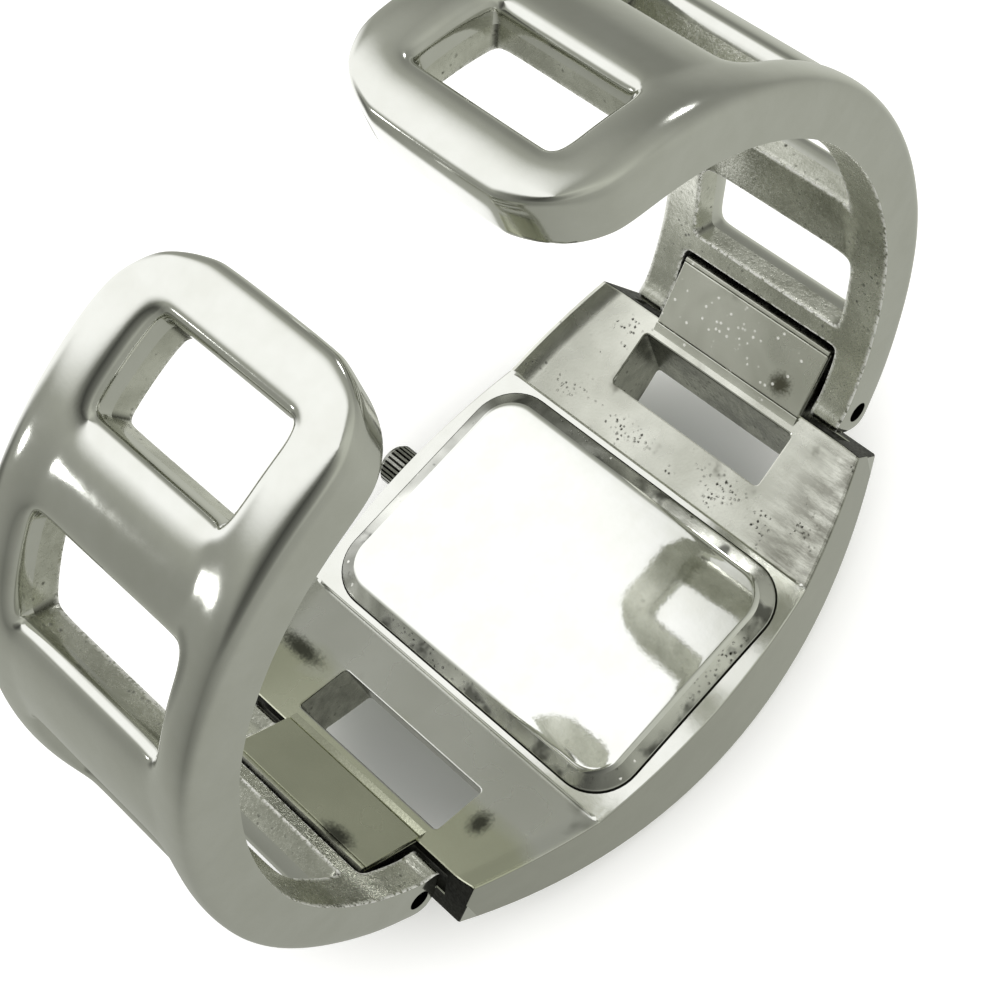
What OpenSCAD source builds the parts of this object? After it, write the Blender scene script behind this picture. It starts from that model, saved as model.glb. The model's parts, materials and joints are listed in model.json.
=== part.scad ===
// Hinged cuff bracelet watch, lying dial down on its crystal.
// +X points to 12 o'clock, +Y to the crown at 3 o'clock and +Z out of the case back.
// The origin is the middle of the crystal's outer face. All sizes are in millimetres.

/* [Case] */
// Length of the raised movement box, along 12 to 6
box_len = 21.7; // [21.2:0.1:23]
// Half width of the case across 9 to 3, at its middle
case_half_w = 15.7; // [15.5:0.1:16.6]
// Radius of the bowed sides, seen from the front
side_bow_r = 61; // [58:1:70]
// Radius of the curved front, seen from the side
front_bow_r = 40; // [38:1:46]
// Rear face of the movement box above the crystal's outer face
box_top = 8.4; // [8.3:0.1:9]
// Slope of the lug plates
lug_slope = 19.5; // [17:0.5:21]
// Reach of the case from its middle to the rear edge of each end
case_reach = 20; // [19.8:0.1:21]
// Width of the rim that stands round each lug plate
rim_w = 1.4; // [1:0.1:1.8]
// Height of that rim above the lug plate
rim_h = 0.42; // [0.3:0.02:0.6]
// Size of each lug window along 12 to 6
lug_window_x = 4.2; // [4.1:0.05:4.6]
// Half size of each lug window across 9 to 3
lug_window_half_y = 7.1; // [6:0.1:7.6]
// Bar left between each lug window and the end of the case
lug_bar = 1.2; // [1:0.1:1.5]

/* [Crystal and dial] */
// Thickness of the flat crystal
crystal_t = 1.5; // [1.3:0.1:1.6]
// Half size of the crystal along 12 to 6
crystal_half_x = 8.4; // [7.8:0.1:8.6]
// Half size of the crystal across 9 to 3
crystal_half_y = 11.9; // [11:0.1:12.2]
// Corner radius of the crystal
crystal_corner = 2.5; // [2:0.1:3]
// Free height between the crystal and the dial
hand_room = 1.5; // [1.4:0.05:1.6]
// Thickness of the dial
dial_t = 0.4; // [0.3:0.05:0.5]

/* [Case back] */
// Half size of the case back's flange along 12 to 6
back_half_x = 10.3; // [9.8:0.1:10.4]
// Half size of the case back's flange across 9 to 3
back_half_y = 14.3; // [13.6:0.1:14.4]
// Height that the case back stands above the movement box
back_rise = 0.8; // [0.6:0.05:1]
// Width of the case back's sloped border
back_slope_w = 1.2; // [0.8:0.1:1.5]

/* [Crown] */
// Radius of the crown
crown_r = 1.65; // [1.4:0.05:1.9]
// Length of the crown
crown_len = 2.1; // [1.8:0.1:2.4]
// Number of ridges round the crown
crown_ridges = 26; // [20:1:32]
// Travel of the crown when it is pulled out to set the hands
crown_travel = 0.7; // [0.4:0.1:0.9]

/* [Hinges] */
// Distance of each hinge pin beyond the rear edge of the case's end
pin_out = 3; // [2.9:0.05:3.3]
// Depth of each hinge pin under the rear edge of the case's end
pin_drop = 0.5; // [0.3:0.05:0.8]
// Radius of each hinge pin
pin_r = 0.75; // [0.6:0.05:0.8]
// Radius of the round end of each ear
ear_r = 2.2; // [1.9:0.05:2.3]
// Half width of the tongue between the ears
tongue_half = 6.75; // [6:0.05:7]
// Gap between the tongue and each ear
ear_gap = 0.35; // [0.3:0.05:0.6]
// Slope of the tongue's cover plate
tongue_slope = 40.8; // [36:0.4:44]
// Length of the tongue along that slope
tongue_len = 5.8; // [5.4:0.1:6]

/* [Arms] */
// Half width of each arm
arm_half_w = 9.6; // [9.5:0.1:10.2]
// Thickness of each arm
arm_t = 3.8; // [3.5:0.1:4.2]
// Inner radius of the arm's lower third, next to the hinge
lower_r = 25.2; // [24.5:0.1:26.5]
// Inner radius of the arm's side
side_r = 30; // [28:0.5:34]
// Inner radius of the arm's upper part, which curls to the tip
upper_r = 21; // [20:0.1:22]
// Depth of the bars' inner faces below the rails
bar_recess = 0.5; // [0.3:0.05:0.8]
// Radius of the tip's corners, seen from the case back
tip_corner = 6; // [4:0.5:7]
// Radius of the arm's outer edges
edge_r = 1.3; // [0.8:0.1:1.6]
// Depth of the bevel round the outside of the arm's windows
bevel_depth = 1.2; // [0.8:0.1:1.5]
// Width of that bevel on the bars
bar_bevel = 1.4; // [0.8:0.1:1.6]
// Width of that bevel on the rails
rail_bevel = 0.8; // [0.4:0.1:1]

/* [Fits] */
// Running clearance of arms, wheels and stem on their bores
run_gap = 0.05; // [0.03:0.01:0.08]
// Clearance of the pieces that drop into the case
drop_gap = 0.1; // [0.05:0.01:0.15]

/* [Hidden] */
eps = 0.01;

// Case outline
box_half_x = box_len / 2;
front_z = 0.3;
lug_foot = box_top - rim_h;
lug_end_z = lug_foot + (case_reach - box_half_x) * tan(lug_slope);
case_end_x = case_reach + 2.3;
case_end_z = lug_end_z - 3.9;

// Heights inside the case, from the crystal to the case back
crystal_gap = 0.3;
dial_z = crystal_t + hand_room;
plate_z = dial_z + dial_t;
train_z = plate_z + 1.7;
bridge_z = train_z + 1.7;
bridge_t = 0.35;
back_plug = 0.8;
back_corner = crystal_corner + 1;
back_in_z = box_top - back_plug;
stem_z = train_z + 1.05;

// Cavity, dial opening and movement, as half sizes
cav_x = crystal_half_x + 0.3;
cav_y = crystal_half_y + 0.6;
cav_corner = crystal_corner + 0.2;
opening_x = crystal_half_x - 0.7;
opening_y = crystal_half_y - 0.7;
opening_corner = crystal_corner - 0.7;
move_x = 7.4;
move_y = 8.8;
move_corner = 1.5;

// Going train: teeth and module of each pair
mod_third = 0.1;
mod_centre = mod_third * 68 / 72;
mod_fourth = 0.125;
mod_rotor = 0.12;
mod_motion = 0.1;
wheel_t = 0.2;
pinion_t = 0.3;
pivot_r = 0.12;
third_angle = 50;
third_d = mod_third * (8 + 60) / 2;
fifth_angle = -60;
fifth_d = mod_fourth * (8 + 48) / 2;
rotor_angle = -25;
rotor_d = mod_rotor * (6 + 30) / 2;
motion_angle = 160;
motion_d = mod_motion * (12 + 36) / 2;
third_pos = third_d * [cos(third_angle), sin(third_angle)];
fifth_pos = fifth_d * [cos(fifth_angle), sin(fifth_angle)];
rotor_pos = fifth_pos + rotor_d * [cos(rotor_angle), sin(rotor_angle)];
motion_pos = motion_d * [cos(motion_angle), sin(motion_angle)];
seconds_arbor_r = 0.14;
minute_tube_r = 0.34;
hour_tube_r = 0.55;

// Battery, motor and electronics
battery_r = 3.2;
battery_t = 2.1;
battery_pos = [-3.85, -5.25];
core_x0 = 0.1;
core_x1 = 7.2;
core_y = -7.4;
magnet_r = 0.8;

// Stem and crown
stem_r = 0.4;
stem_in_y = cav_y - 5.8 - 2 * crown_travel;
tube_r = 0.85;
lever_y = cav_y - 4.2 - crown_travel;
wall_y = case_half_w;
crown_y = wall_y + 0.3;

// Hinge frame: the pin, and the slope of the tongue's cover plate
pin_x = case_reach + pin_out;
pin_z = lug_end_z - pin_drop;
tongue_x = case_reach - 0.4;
tongue_z = lug_end_z;
reach_r = norm([tongue_x + tongue_len * cos(tongue_slope) - pin_x,
    tongue_z + tongue_len * sin(tongue_slope) - pin_z]);
ear_in = tongue_half + ear_gap;
pin_short = 0.9;
pocket_r = pin_r + 0.6;
cover_t = 0.45;
cover_lip = 0.35;
cover_len = tongue_len - 2 * cover_lip;
cover_half = tongue_half;

// Arm arcs: each has a centre in X and Z, an inner radius and a span of angles
pin_angle = -41;
pin_depth = 1.7;
side_end = 25;
tip_angle = 87;
lower_c = [pin_x, pin_z] - (lower_r + pin_depth) * [cos(pin_angle), sin(pin_angle)];
side_c = lower_c - (side_r - lower_r) * [1, 0];
upper_c = side_c + (side_r - upper_r) * [cos(side_end), sin(side_end)];
tip_x = upper_c[0] + (upper_r + arm_t / 2) * cos(tip_angle) - arm_t / 2;
arm_start = pin_angle + asin((pin_r + run_gap + 0.1) / (lower_r + pin_depth));
bar_wall = asin((reach_r + 0.4) / (lower_r + pin_depth)) + pin_angle;

// Windows of an arm: arc centre, inner radius, middle angle, length and half width
WINDOWS = [
    [lower_c, lower_r, -20.4, 6.4, 6.7],
    [side_c, side_r, 6, 7.9, 6.6],
    [upper_c, upper_r, 41, 7.5, 6.4],
    [upper_c, upper_r, 74.2, 6, 5.3]];
window_corner = 0.9;

// Bars with a recessed inner face: arc centre, inner radius, middle angle and length
BARS = [
    [lower_c, lower_r, -7.5, 4.9],
    [side_c, side_r, 21.3, 8.1],
    [upper_c, upper_r, 58.6, 5.5]];
recess_half = WINDOWS[0][4] + 0.15;

// A flat shape with round corners, given by its half sizes
module round_rect(half_x, half_y, corner) {
    square([2 * half_x, 2 * (half_y - corner)], center = true);
    square([2 * (half_x - corner), 2 * half_y], center = true);
    for (sx = [-1, 1], sy = [-1, 1])
        translate([sx * (half_x - corner), sy * (half_y - corner)])
            circle(r = corner, $fn = 48);
}

// A slab of that shape between two heights
module slab(half_x, half_y, corner, z0, z1) {
    translate([0, 0, z0])
        linear_extrude(z1 - z0)
            round_rect(half_x, half_y, corner);
}

// A disc or ring between two heights
module disc(r, z0, z1, pos = [0, 0], bore = 0) {
    translate([pos[0], pos[1], z0])
        difference() {
            cylinder(r = r, h = z1 - z0, $fn = 48);
            if (bore > 0)
                translate([0, 0, -eps])
                    cylinder(r = bore, h = z1 - z0 + 2 * eps, $fn = 32);
        }
}

// A side view in X and Z, pushed out across the case from -half to +half
module across(half) {
    rotate([90, 0, 0])
        linear_extrude(2 * half, center = true)
            children();
}

// A rod along Y from y0 to y1
module rod_y(r, x, z, y0, y1) {
    translate([x, y1, z])
        rotate([90, 0, 0])
            cylinder(r = r, h = y1 - y0, $fn = 48);
}

// Plan outline of the case, drawn in by a given margin
module case_plan(margin) {
    intersection_for (s = [-1, 1])
        translate([0, s * (side_bow_r - case_half_w)])
            circle(r = side_bow_r - margin, $fn = 360);
}

// A toothed wheel with straight flanks, one tooth middle on the given angle
module gear(teeth, mod, z0, t, angle, pos = [0, 0], bore = 0) {
    pitch = 360 / teeth;
    root_r = mod * (teeth / 2 - 1.15);
    tip_r = mod * (teeth / 2 + 0.85);
    translate([pos[0], pos[1], z0])
        linear_extrude(t)
            difference() {
                rotate([0, 0, angle])
                    polygon([for (i = [0 : teeth - 1])
                        for (p = [[root_r, -0.27], [tip_r, -0.1], [tip_r, 0.1], [root_r, 0.27]])
                            p[0] * [cos((i + p[1]) * pitch), sin((i + p[1]) * pitch)]]);
                if (bore > 0)
                    circle(r = bore, $fn = 32);
            }
}

// The outer form of the case: bowed sides, curved front, box, rims and sloping ends
module case_block() {
    intersection() {
        translate([0, 0, -5])
            linear_extrude(30)
                case_plan(0);
        across(case_half_w + 1)
            intersection() {
                translate([0, front_z + front_bow_r])
                    circle(r = front_bow_r, $fn = 360);
                polygon([
                    [-case_end_x, -1], [case_end_x, -1], [case_end_x, case_end_z],
                    [case_reach, lug_end_z + rim_h], [box_half_x, box_top],
                    [-box_half_x, box_top], [-case_reach, lug_end_z + rim_h],
                    [-case_end_x, case_end_z]]);
            }
    }
}

// The sunk face of one lug plate and its window
module lug_cut() {
    intersection() {
        translate([0, 0, 2])
            linear_extrude(20)
                case_plan(rim_w);
        across(case_half_w)
            polygon([[box_half_x, lug_foot], [case_reach + 1, lug_end_z + tan(lug_slope)],
                [case_reach + 1, lug_end_z + 6], [box_half_x, lug_end_z + 6]]);
    }
    translate([case_reach - lug_bar - lug_window_x / 2, 0, -1])
        linear_extrude(20)
            round_rect(lug_window_x / 2, lug_window_half_y, 0.3);
}

// Side view of one hinge tongue
module tongue_side() {
    intersection() {
        translate(lower_c)
            circle(r = lower_r + arm_t - 0.2, $fn = 360);
        union() {
            translate([pin_x, pin_z])
                circle(r = reach_r, $fn = 96);
            polygon([[case_reach - 1.5, case_end_z - 0.3], [pin_x, case_end_z - 0.3],
                [pin_x, tongue_z + 3], [tongue_x, tongue_z], [case_reach - 1.5, tongue_z - 1]]);
        }
        translate([tongue_x, tongue_z])
            rotate(tongue_slope)
                translate([-4, -12])
                    square([tongue_len + 8, 12]);
    }
}

// The spring pocket and pin bore of one tongue
module tongue_cuts() {
    rod_y(pocket_r, pin_x, pin_z, -cover_half + 0.8, cover_half - 0.8);
    rod_y(pin_r, pin_x, pin_z, -tongue_half - 1, tongue_half + 1);
    across(cover_half - 0.8)
        translate([pin_x, pin_z])
            rotate(tongue_slope)
                translate([-pocket_r, 0])
                    square([2 * pocket_r, 5]);
}

// The seat of one cover plate, sunk into the tongue and the end of the lug plate
module cover_seat() {
    across(cover_half + drop_gap / 2)
        translate([tongue_x, tongue_z])
            rotate(tongue_slope)
                translate([cover_lip - drop_gap / 2, -cover_t])
                    square([cover_len + drop_gap, 5]);
}

// The tongue on its own half, cut clear of the lug window
module tongue() {
    difference() {
        across(tongue_half)
            tongue_side();
        tongue_cuts();
        translate([case_reach - lug_bar - 5, -10, -1])
            cube([5, 20, 30]);
    }
}

module case_frame() {
    color("silver")
    difference() {
        union() {
            difference() {
                case_block();
                for (m = [0, 1])
                    mirror([m, 0, 0])
                        lug_cut();
                // Room for the round ends of the ears beside each tongue
                for (m = [0, 1])
                    mirror([m, 0, 0])
                        rod_y(ear_r + 0.3, pin_x, pin_z, -arm_half_w - 0.3, arm_half_w + 0.3);
            }
            for (m = [0, 1])
                mirror([m, 0, 0])
                    tongue();
        }
        for (m = [0, 1])
            mirror([m, 0, 0])
                cover_seat();
        slab(cav_x, cav_y, cav_corner, dial_z, box_top + 1);
        slab(opening_x, opening_y, opening_corner, crystal_t, dial_z + eps);
        slab(crystal_half_x + crystal_gap, crystal_half_y + crystal_gap,
            crystal_corner + crystal_gap, -2, crystal_t);
        rod_y(tube_r, 0, stem_z, cav_y - 1, wall_y + 1);
    }
}

module crystal() {
    color("lightcyan", 0.4)
        slab(crystal_half_x, crystal_half_y, crystal_corner, 0, crystal_t);
}

module crystal_gasket() {
    color("dimgray")
    difference() {
        slab(crystal_half_x + crystal_gap, crystal_half_y + crystal_gap,
            crystal_corner + crystal_gap, crystal_t - 0.2, crystal_t);
        slab(crystal_half_x, crystal_half_y, crystal_corner, 0, crystal_t + 1);
    }
}

module dial() {
    color("white")
    difference() {
        slab(cav_x - drop_gap, cav_y - drop_gap, cav_corner - drop_gap, dial_z, plate_z);
        disc(hour_tube_r + 0.2, dial_z - 1, plate_z + 1);
    }
}

// Place of one marker: on a rectangle round the dial, at its hour's direction
function marker_reach(a) = min((opening_x - 1.7) / max(abs(cos(a)), 0.01),
    (opening_y - 1.7) / max(abs(sin(a)), 0.01));

module hour_markers() {
    color("silver")
    for (hour = [0 : 11]) {
        a = hour * 30;
        translate([marker_reach(a) * cos(a), marker_reach(a) * sin(a), dial_z - 0.15])
            rotate([0, 0, a])
                translate([-0.8, -0.2, 0])
                    cube([1.6, 0.4, 0.15]);
    }
}

module case_back() {
    rise = back_rise;
    color("gainsboro") {
        difference() {
            slab(cav_x - drop_gap, cav_y - drop_gap, cav_corner - drop_gap, back_in_z, box_top);
            slab(cav_x - 0.7, cav_y - 0.7, cav_corner - 0.5, back_in_z - eps, box_top - 0.3);
        }
        intersection() {
            slab(back_half_x, back_half_y, back_corner, box_top, box_top + rise);
            // Four sloping borders, each a wedge cut through the plate's length
            across(back_half_y + 1)
                back_side(back_half_x);
            rotate([0, 0, 90])
                across(back_half_y + 1)
                    back_side(back_half_y);
        }
    }
}

// Side view of the case back's plate with its two sloped borders
module back_side(half) {
    polygon([[-half, box_top], [half, box_top], [half, box_top + 0.2],
        [half - back_slope_w, box_top + back_rise],
        [-half + back_slope_w, box_top + back_rise], [-half, box_top + 0.2]]);
}

module back_gasket() {
    color("dimgray")
    difference() {
        slab(cav_x - 0.75, cav_y - 0.75, cav_corner - 0.55, back_in_z - 0.1, back_in_z + 0.3);
        slab(cav_x - 1.2, cav_y - 1.2, cav_corner - 1, back_in_z - 1, back_in_z + 1);
    }
}

module movement_holder() {
    color("ivory")
    difference() {
        slab(cav_x - drop_gap, cav_y - drop_gap, cav_corner - drop_gap, plate_z,
            back_in_z - drop_gap);
        slab(move_x + drop_gap, move_y + drop_gap, move_corner + drop_gap, plate_z - 1, box_top);
        rod_y(tube_r + 0.1, 0, stem_z, 0, cav_y + 1);
    }
}

module main_plate() {
    color("goldenrod")
    difference() {
        slab(move_x, move_y, move_corner, plate_z, train_z);
        // Pocket for the motion works, open to the dial
        disc(2.2, plate_z - eps, plate_z + 0.85);
        disc(2.1, plate_z - eps, plate_z + 0.85, motion_pos);
        disc(minute_tube_r + run_gap, plate_z - 1, train_z + 1);
        disc(battery_r + 0.15, plate_z - 1, train_z + 1, battery_pos);
        translate([(core_x0 + core_x1) / 2, core_y, train_z])
            cube([core_x1 - core_x0 + 0.2, 2.3, 1.3], center = true);
        for (p = [third_pos, fifth_pos, rotor_pos])
            disc(pivot_r + run_gap, train_z - 0.5, train_z + 1, p);
    }
    color("goldenrod") {
        // Post of the minute wheel, in its pocket
        disc(0.2, plate_z + 0.2, plate_z + 0.9, motion_pos);
        // Pillars that carry the train bridge
        for (p = BRIDGE_PILLARS)
            disc(0.6, train_z - 0.2, bridge_z, p, 0.25);
    }
}

BRIDGE_PILLARS = [[-6.2, 5.2], [6.3, 6.6], [5.9, -2.6]];

module train_bridge() {
    color("goldenrod")
    difference() {
        union() {
            for (p = BRIDGE_PILLARS)
                disc(0.9, bridge_z, bridge_z + bridge_t, p);
            for (p = BRIDGE_PILLARS)
                strip(p, [0, 0], 1.3, bridge_z, bridge_t);
            disc(1.4, bridge_z, bridge_z + bridge_t);
            for (p = [third_pos, fifth_pos, rotor_pos])
                disc(0.7, bridge_z, bridge_z + bridge_t, p);
            strip(third_pos, [0, 0], 1.2, bridge_z, bridge_t);
            strip(fifth_pos, [0, 0], 1.2, bridge_z, bridge_t);
            strip(rotor_pos, fifth_pos, 1.2, bridge_z, bridge_t);
        }
        for (p = BRIDGE_PILLARS)
            disc(0.25, bridge_z - 1, bridge_z + 1, p);
        for (p = [third_pos, fifth_pos, rotor_pos])
            disc(pivot_r + run_gap, bridge_z - 1, bridge_z + 1, p);
        disc(seconds_arbor_r + run_gap, bridge_z - 1, bridge_z + 1);
    }
}

// A flat strip between two points
module strip(p, q, width, z0, t) {
    d = q - p;
    translate([p[0], p[1], z0])
        rotate([0, 0, atan2(d[1], d[0])])
            translate([0, -width / 2, 0])
                cube([norm(d), width, t]);
}

module battery() {
    color("lightgray") {
        disc(battery_r, back_in_z - 0.35 - battery_t, back_in_z - 0.55, battery_pos);
        disc(battery_r - 0.4, back_in_z - 0.55, back_in_z - 0.35, battery_pos);
    }
}

module battery_clamp() {
    top = back_in_z - 0.35;
    color("silver") {
        strip(battery_pos + [-1.8, 1.2], battery_pos + [-1.8, 9.4], 1.2, top, 0.15);
        translate([battery_pos[0] - 2.4, battery_pos[1] + 8.2, train_z])
            cube([1.2, 0.15, top - train_z]);
    }
}

module movement_screws() {
    color("silver")
    for (p = BRIDGE_PILLARS) {
        disc(0.5, bridge_z + bridge_t, bridge_z + bridge_t + 0.15, p);
        disc(0.25, bridge_z - 0.8, bridge_z + bridge_t, p);
    }
}

module coil_core() {
    color("slategray")
    translate([core_x0, core_y - 0.5, train_z + 0.45])
        cube([core_x1 - core_x0, 1, 0.4]);
}

module coil() {
    color("darkorange")
    difference() {
        translate([core_x0 + 1.1, core_y, train_z + 0.65])
            rotate([0, 90, 0])
                cylinder(r = 1, h = core_x1 - core_x0 - 2.2, $fn = 48);
        translate([core_x0, core_y - 0.5, train_z + 0.45])
            cube([core_x1 - core_x0, 1, 0.4]);
    }
}

module stator() {
    z0 = train_z + 0.85;
    color("slategray")
    difference() {
        union() {
            for (x = [core_x0, core_x1 - 1])
                translate([x, core_y - 0.5, z0])
                    cube([1, 3.4, 0.4]);
            translate([core_x0, -5.3, z0])
                cube([core_x1 - core_x0, 1.3, 0.4]);
            disc(1.5, z0, z0 + 0.4, rotor_pos);
        }
        disc(magnet_r + 0.15, z0 - 1, z0 + 1, rotor_pos);
        disc(mod_fourth * 4.85 + 0.2, z0 - 1, z0 + 1, fifth_pos);
    }
}

module circuit_board() {
    z0 = train_z + 1.65;
    color("darkgreen")
    translate([core_x0 + 0.2, -8.6, z0])
        cube([core_x1 - core_x0 - 0.4, 2.6, 0.3]);
    color("black")
    translate([2.2, -8.2, z0 + 0.3])
        cube([1.8, 1.6, 0.25]);
}

module quartz_can() {
    color("silver")
        rod_y(0.7, 6.4, train_z + 0.7, -0.8, 4.2);
}

module crown_tube() {
    color("khaki")
    difference() {
        rod_y(tube_r, 0, stem_z, cav_y + 0.05, wall_y + 0.15);
        rod_y(stem_r + run_gap, 0, stem_z, 0, wall_y + 1);
    }
}

// The crown's outline with its ridges, turned to run along Y
module crown() {
    color("silver")
    difference() {
        translate([0, crown_y + crown_len, stem_z])
            rotate([90, 0, 0])
                union() {
                    translate([0, 0, 0.35])
                        linear_extrude(crown_len - 0.35)
                            ridged_disc(crown_r, crown_ridges);
                    cylinder(r = crown_r - 0.12, h = crown_len, $fn = 64);
                }
        rod_y(stem_r, 0, stem_z, crown_y - 1, crown_y + 1.3);
        rod_y(tube_r + 0.25, 0, stem_z, crown_y - 1, crown_y + 0.5);
    }
}

// A disc with small ridges round its rim
module ridged_disc(r, count) {
    step = 360 / count;
    polygon([for (i = [0 : count - 1])
        for (p = [[r - 0.15, -0.5], [r, -0.25], [r, 0.25]])
            p[0] * [cos((i + p[1]) * step), sin((i + p[1]) * step)]]);
}

module crown_gasket() {
    color("black")
    translate([0, crown_y + 0.5, stem_z])
        rotate([90, 0, 0])
            rotate_extrude($fn = 48)
                translate([stem_r + 0.2, 0.17])
                    circle(r = 0.16, $fn = 24);
}

module stem() {
    color("silver")
    difference() {
        rod_y(stem_r, 0, stem_z, stem_in_y, crown_y + 1.3);
        difference() {
            rod_y(stem_r + 1, 0, stem_z, lever_y, lever_y + 0.5);
            rod_y(stem_r - 0.15, 0, stem_z, 0, crown_y);
        }
    }
}

// The pull-out piece: a plate whose fork sits in the stem's groove
module setting_lever() {
    z0 = stem_z - stem_r - 0.15;
    color("silver")
    difference() {
        translate([-1, lever_y + 0.1, z0 - 0.1])
            cube([3.2, 0.3, 2 * stem_r + 0.35]);
        rod_y(stem_r - 0.15 + run_gap, 0, stem_z, 0, crown_y);
        translate([-stem_r + 0.15 - run_gap, lever_y, z0 - 1])
            cube([2 * (stem_r - 0.15 + run_gap), 1, 1 + stem_r + 0.15]);
    }
}

module fourth_wheel() {
    color("khaki") {
        gear(48, mod_fourth, train_z + 1.1, wheel_t, fifth_angle, bore = 0);
        gear(8, mod_third, train_z + 0.55, pinion_t, third_angle + 180 / 8);
        disc(seconds_arbor_r, 0.35 + crystal_t, bridge_z + bridge_t - 0.05);
    }
}

module centre_wheel() {
    color("khaki") {
        gear(64, mod_centre, train_z + 0.1, wheel_t, third_angle, bore = seconds_arbor_r + run_gap);
        disc(minute_tube_r, crystal_t + 0.5, train_z + 0.3, bore = seconds_arbor_r + run_gap);
        gear(12, mod_motion, plate_z + 0.3, 0.5, motion_angle, bore = minute_tube_r - eps);
    }
}

module third_wheel() {
    color("khaki") {
        gear(60, mod_third, train_z + 0.6, wheel_t, third_angle + 180, third_pos);
        gear(8, mod_centre, train_z + 0.05, pinion_t, third_angle + 180 + 180 / 8, third_pos);
        disc(pivot_r, train_z - 0.4, bridge_z + bridge_t - 0.05, third_pos);
    }
}

module fifth_wheel() {
    color("khaki") {
        gear(30, mod_rotor, train_z + 0.4, wheel_t, rotor_angle, fifth_pos);
        gear(8, mod_fourth, train_z + 1.05, pinion_t, fifth_angle + 180 + 180 / 8, fifth_pos);
        disc(pivot_r, train_z - 0.4, bridge_z + bridge_t - 0.05, fifth_pos);
    }
}

module rotor() {
    color("dimgray") {
        disc(magnet_r, train_z + 0.75, train_z + 1.35, rotor_pos);
        gear(6, mod_rotor, train_z + 0.3, 0.45, rotor_angle + 180 + 180 / 6, rotor_pos);
        disc(pivot_r, train_z - 0.4, bridge_z + bridge_t - 0.05, rotor_pos);
    }
}

module minute_wheel() {
    color("khaki") {
        gear(36, mod_motion, plate_z + 0.5, wheel_t, motion_angle + 180 + 180 / 36, motion_pos,
            bore = 0.2 + run_gap);
        gear(9, mod_hour, plate_z + 0.1, 0.45, motion_angle + 180, motion_pos,
            bore = 0.2 + run_gap);
    }
}

// The minute wheel's pinion and the hour wheel share the motion works' distance
mod_hour = motion_d * 2 / (9 + 36);

module hour_wheel() {
    color("khaki") {
        gear(36, mod_hour, plate_z + 0.05, wheel_t, motion_angle + 180 / 36,
            bore = minute_tube_r + run_gap);
        disc(hour_tube_r, crystal_t + 0.9, plate_z + 0.2, bore = minute_tube_r + run_gap);
    }
}

// A slim hand with a tail and a round hub
module hand(length, tail, width, hub_r, bore, z0, angle) {
    rotate([0, 0, angle])
        difference() {
            union() {
                translate([0, 0, z0])
                    linear_extrude(0.12)
                        polygon([[-tail, -width / 2], [length * 0.9, -width / 2], [length, 0],
                            [length * 0.9, width / 2], [-tail, width / 2]]);
                disc(hub_r, z0, z0 + 0.2);
            }
            disc(bore, z0 - 1, z0 + 1);
        }
}

// The three hands show ten past ten and thirty-five seconds
module hour_hand() {
    color("black")
        hand(4.6, 1.2, 0.6, hour_tube_r + 0.25, hour_tube_r, crystal_t + 0.95, 305);
}

module minute_hand() {
    color("black")
        hand(6.6, 1.5, 0.5, minute_tube_r + 0.3, minute_tube_r, crystal_t + 0.6, 60);
}

module seconds_hand() {
    color("black")
        hand(6.8, 2, 0.2, 0.45, seconds_arbor_r, crystal_t + 0.27, 210);
}

module hinge_pin(m) {
    color("gray")
    mirror([m, 0, 0])
        rod_y(pin_r, pin_x, pin_z, -arm_half_w + pin_short, arm_half_w - pin_short);
}

module hinge_spring(m) {
    color("gray")
    mirror([m, 0, 0])
        difference() {
            union() {
                rod_y(pocket_r - 0.12, pin_x, pin_z, -cover_half + 1.4, cover_half - 1.4);
                // The leg that bears on the underside of the cover plate
                across(0.3)
                    translate([pin_x, pin_z])
                        rotate(tongue_slope)
                            translate([-pocket_r + 0.12, 0])
                                square([0.4, cover_under - 0.05]);
            }
            rod_y(pin_r + 0.05, pin_x, pin_z, -arm_half_w, arm_half_w);
        }
}

// Height of the cover plate's underside above the pin, square to the slope
cover_under = (tongue_z - pin_z) * cos(tongue_slope) + (pin_x - tongue_x) * sin(tongue_slope)
    - cover_t;

module hinge_cover(m) {
    color("lightgray")
    mirror([m, 0, 0])
        across(cover_half)
            translate([tongue_x, tongue_z])
                rotate(tongue_slope)
                    translate([cover_lip, -cover_t])
                        square([cover_len, cover_t]);
}

// Cross-section of an arm, with its inner face at the given radius
module arm_section(r) {
    inner_r = 0.6;
    translate([r, 0]) {
        translate([inner_r, -arm_half_w])
            square([arm_t - inner_r - edge_r, 2 * arm_half_w]);
        translate([0, -arm_half_w + inner_r])
            square([arm_t - edge_r, 2 * (arm_half_w - inner_r)]);
        translate([inner_r, -arm_half_w + edge_r])
            square([arm_t - inner_r, 2 * (arm_half_w - edge_r)]);
        for (s = [-1, 1]) {
            translate([inner_r, s * (arm_half_w - inner_r)])
                circle(r = inner_r, $fn = 48);
            translate([arm_t - edge_r, s * (arm_half_w - edge_r)])
                circle(r = edge_r, $fn = 48);
        }
    }
}

// One curved stretch of an arm, about a centre in X and Z
module arm_arc(centre, r, a0, a1) {
    translate([centre[0], 0, centre[1]])
        rotate([90, 0, 0])
            rotate([0, 0, a0])
                rotate_extrude(angle = a1 - a0, $fn = 180)
                    arm_section(r);
}

// A flat recess in the inner face of one bar, from window to window
module bar_recess_cut(bar) {
    translate([bar[0][0], 0, bar[0][1]])
        rotate([0, -bar[2], 0])
            translate([bar[1] - 4, -recess_half, -bar[3] / 2 - 0.8])
                cube([4 + bar_recess - 0.1, 2 * recess_half, bar[3] + 1.6]);
}

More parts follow.
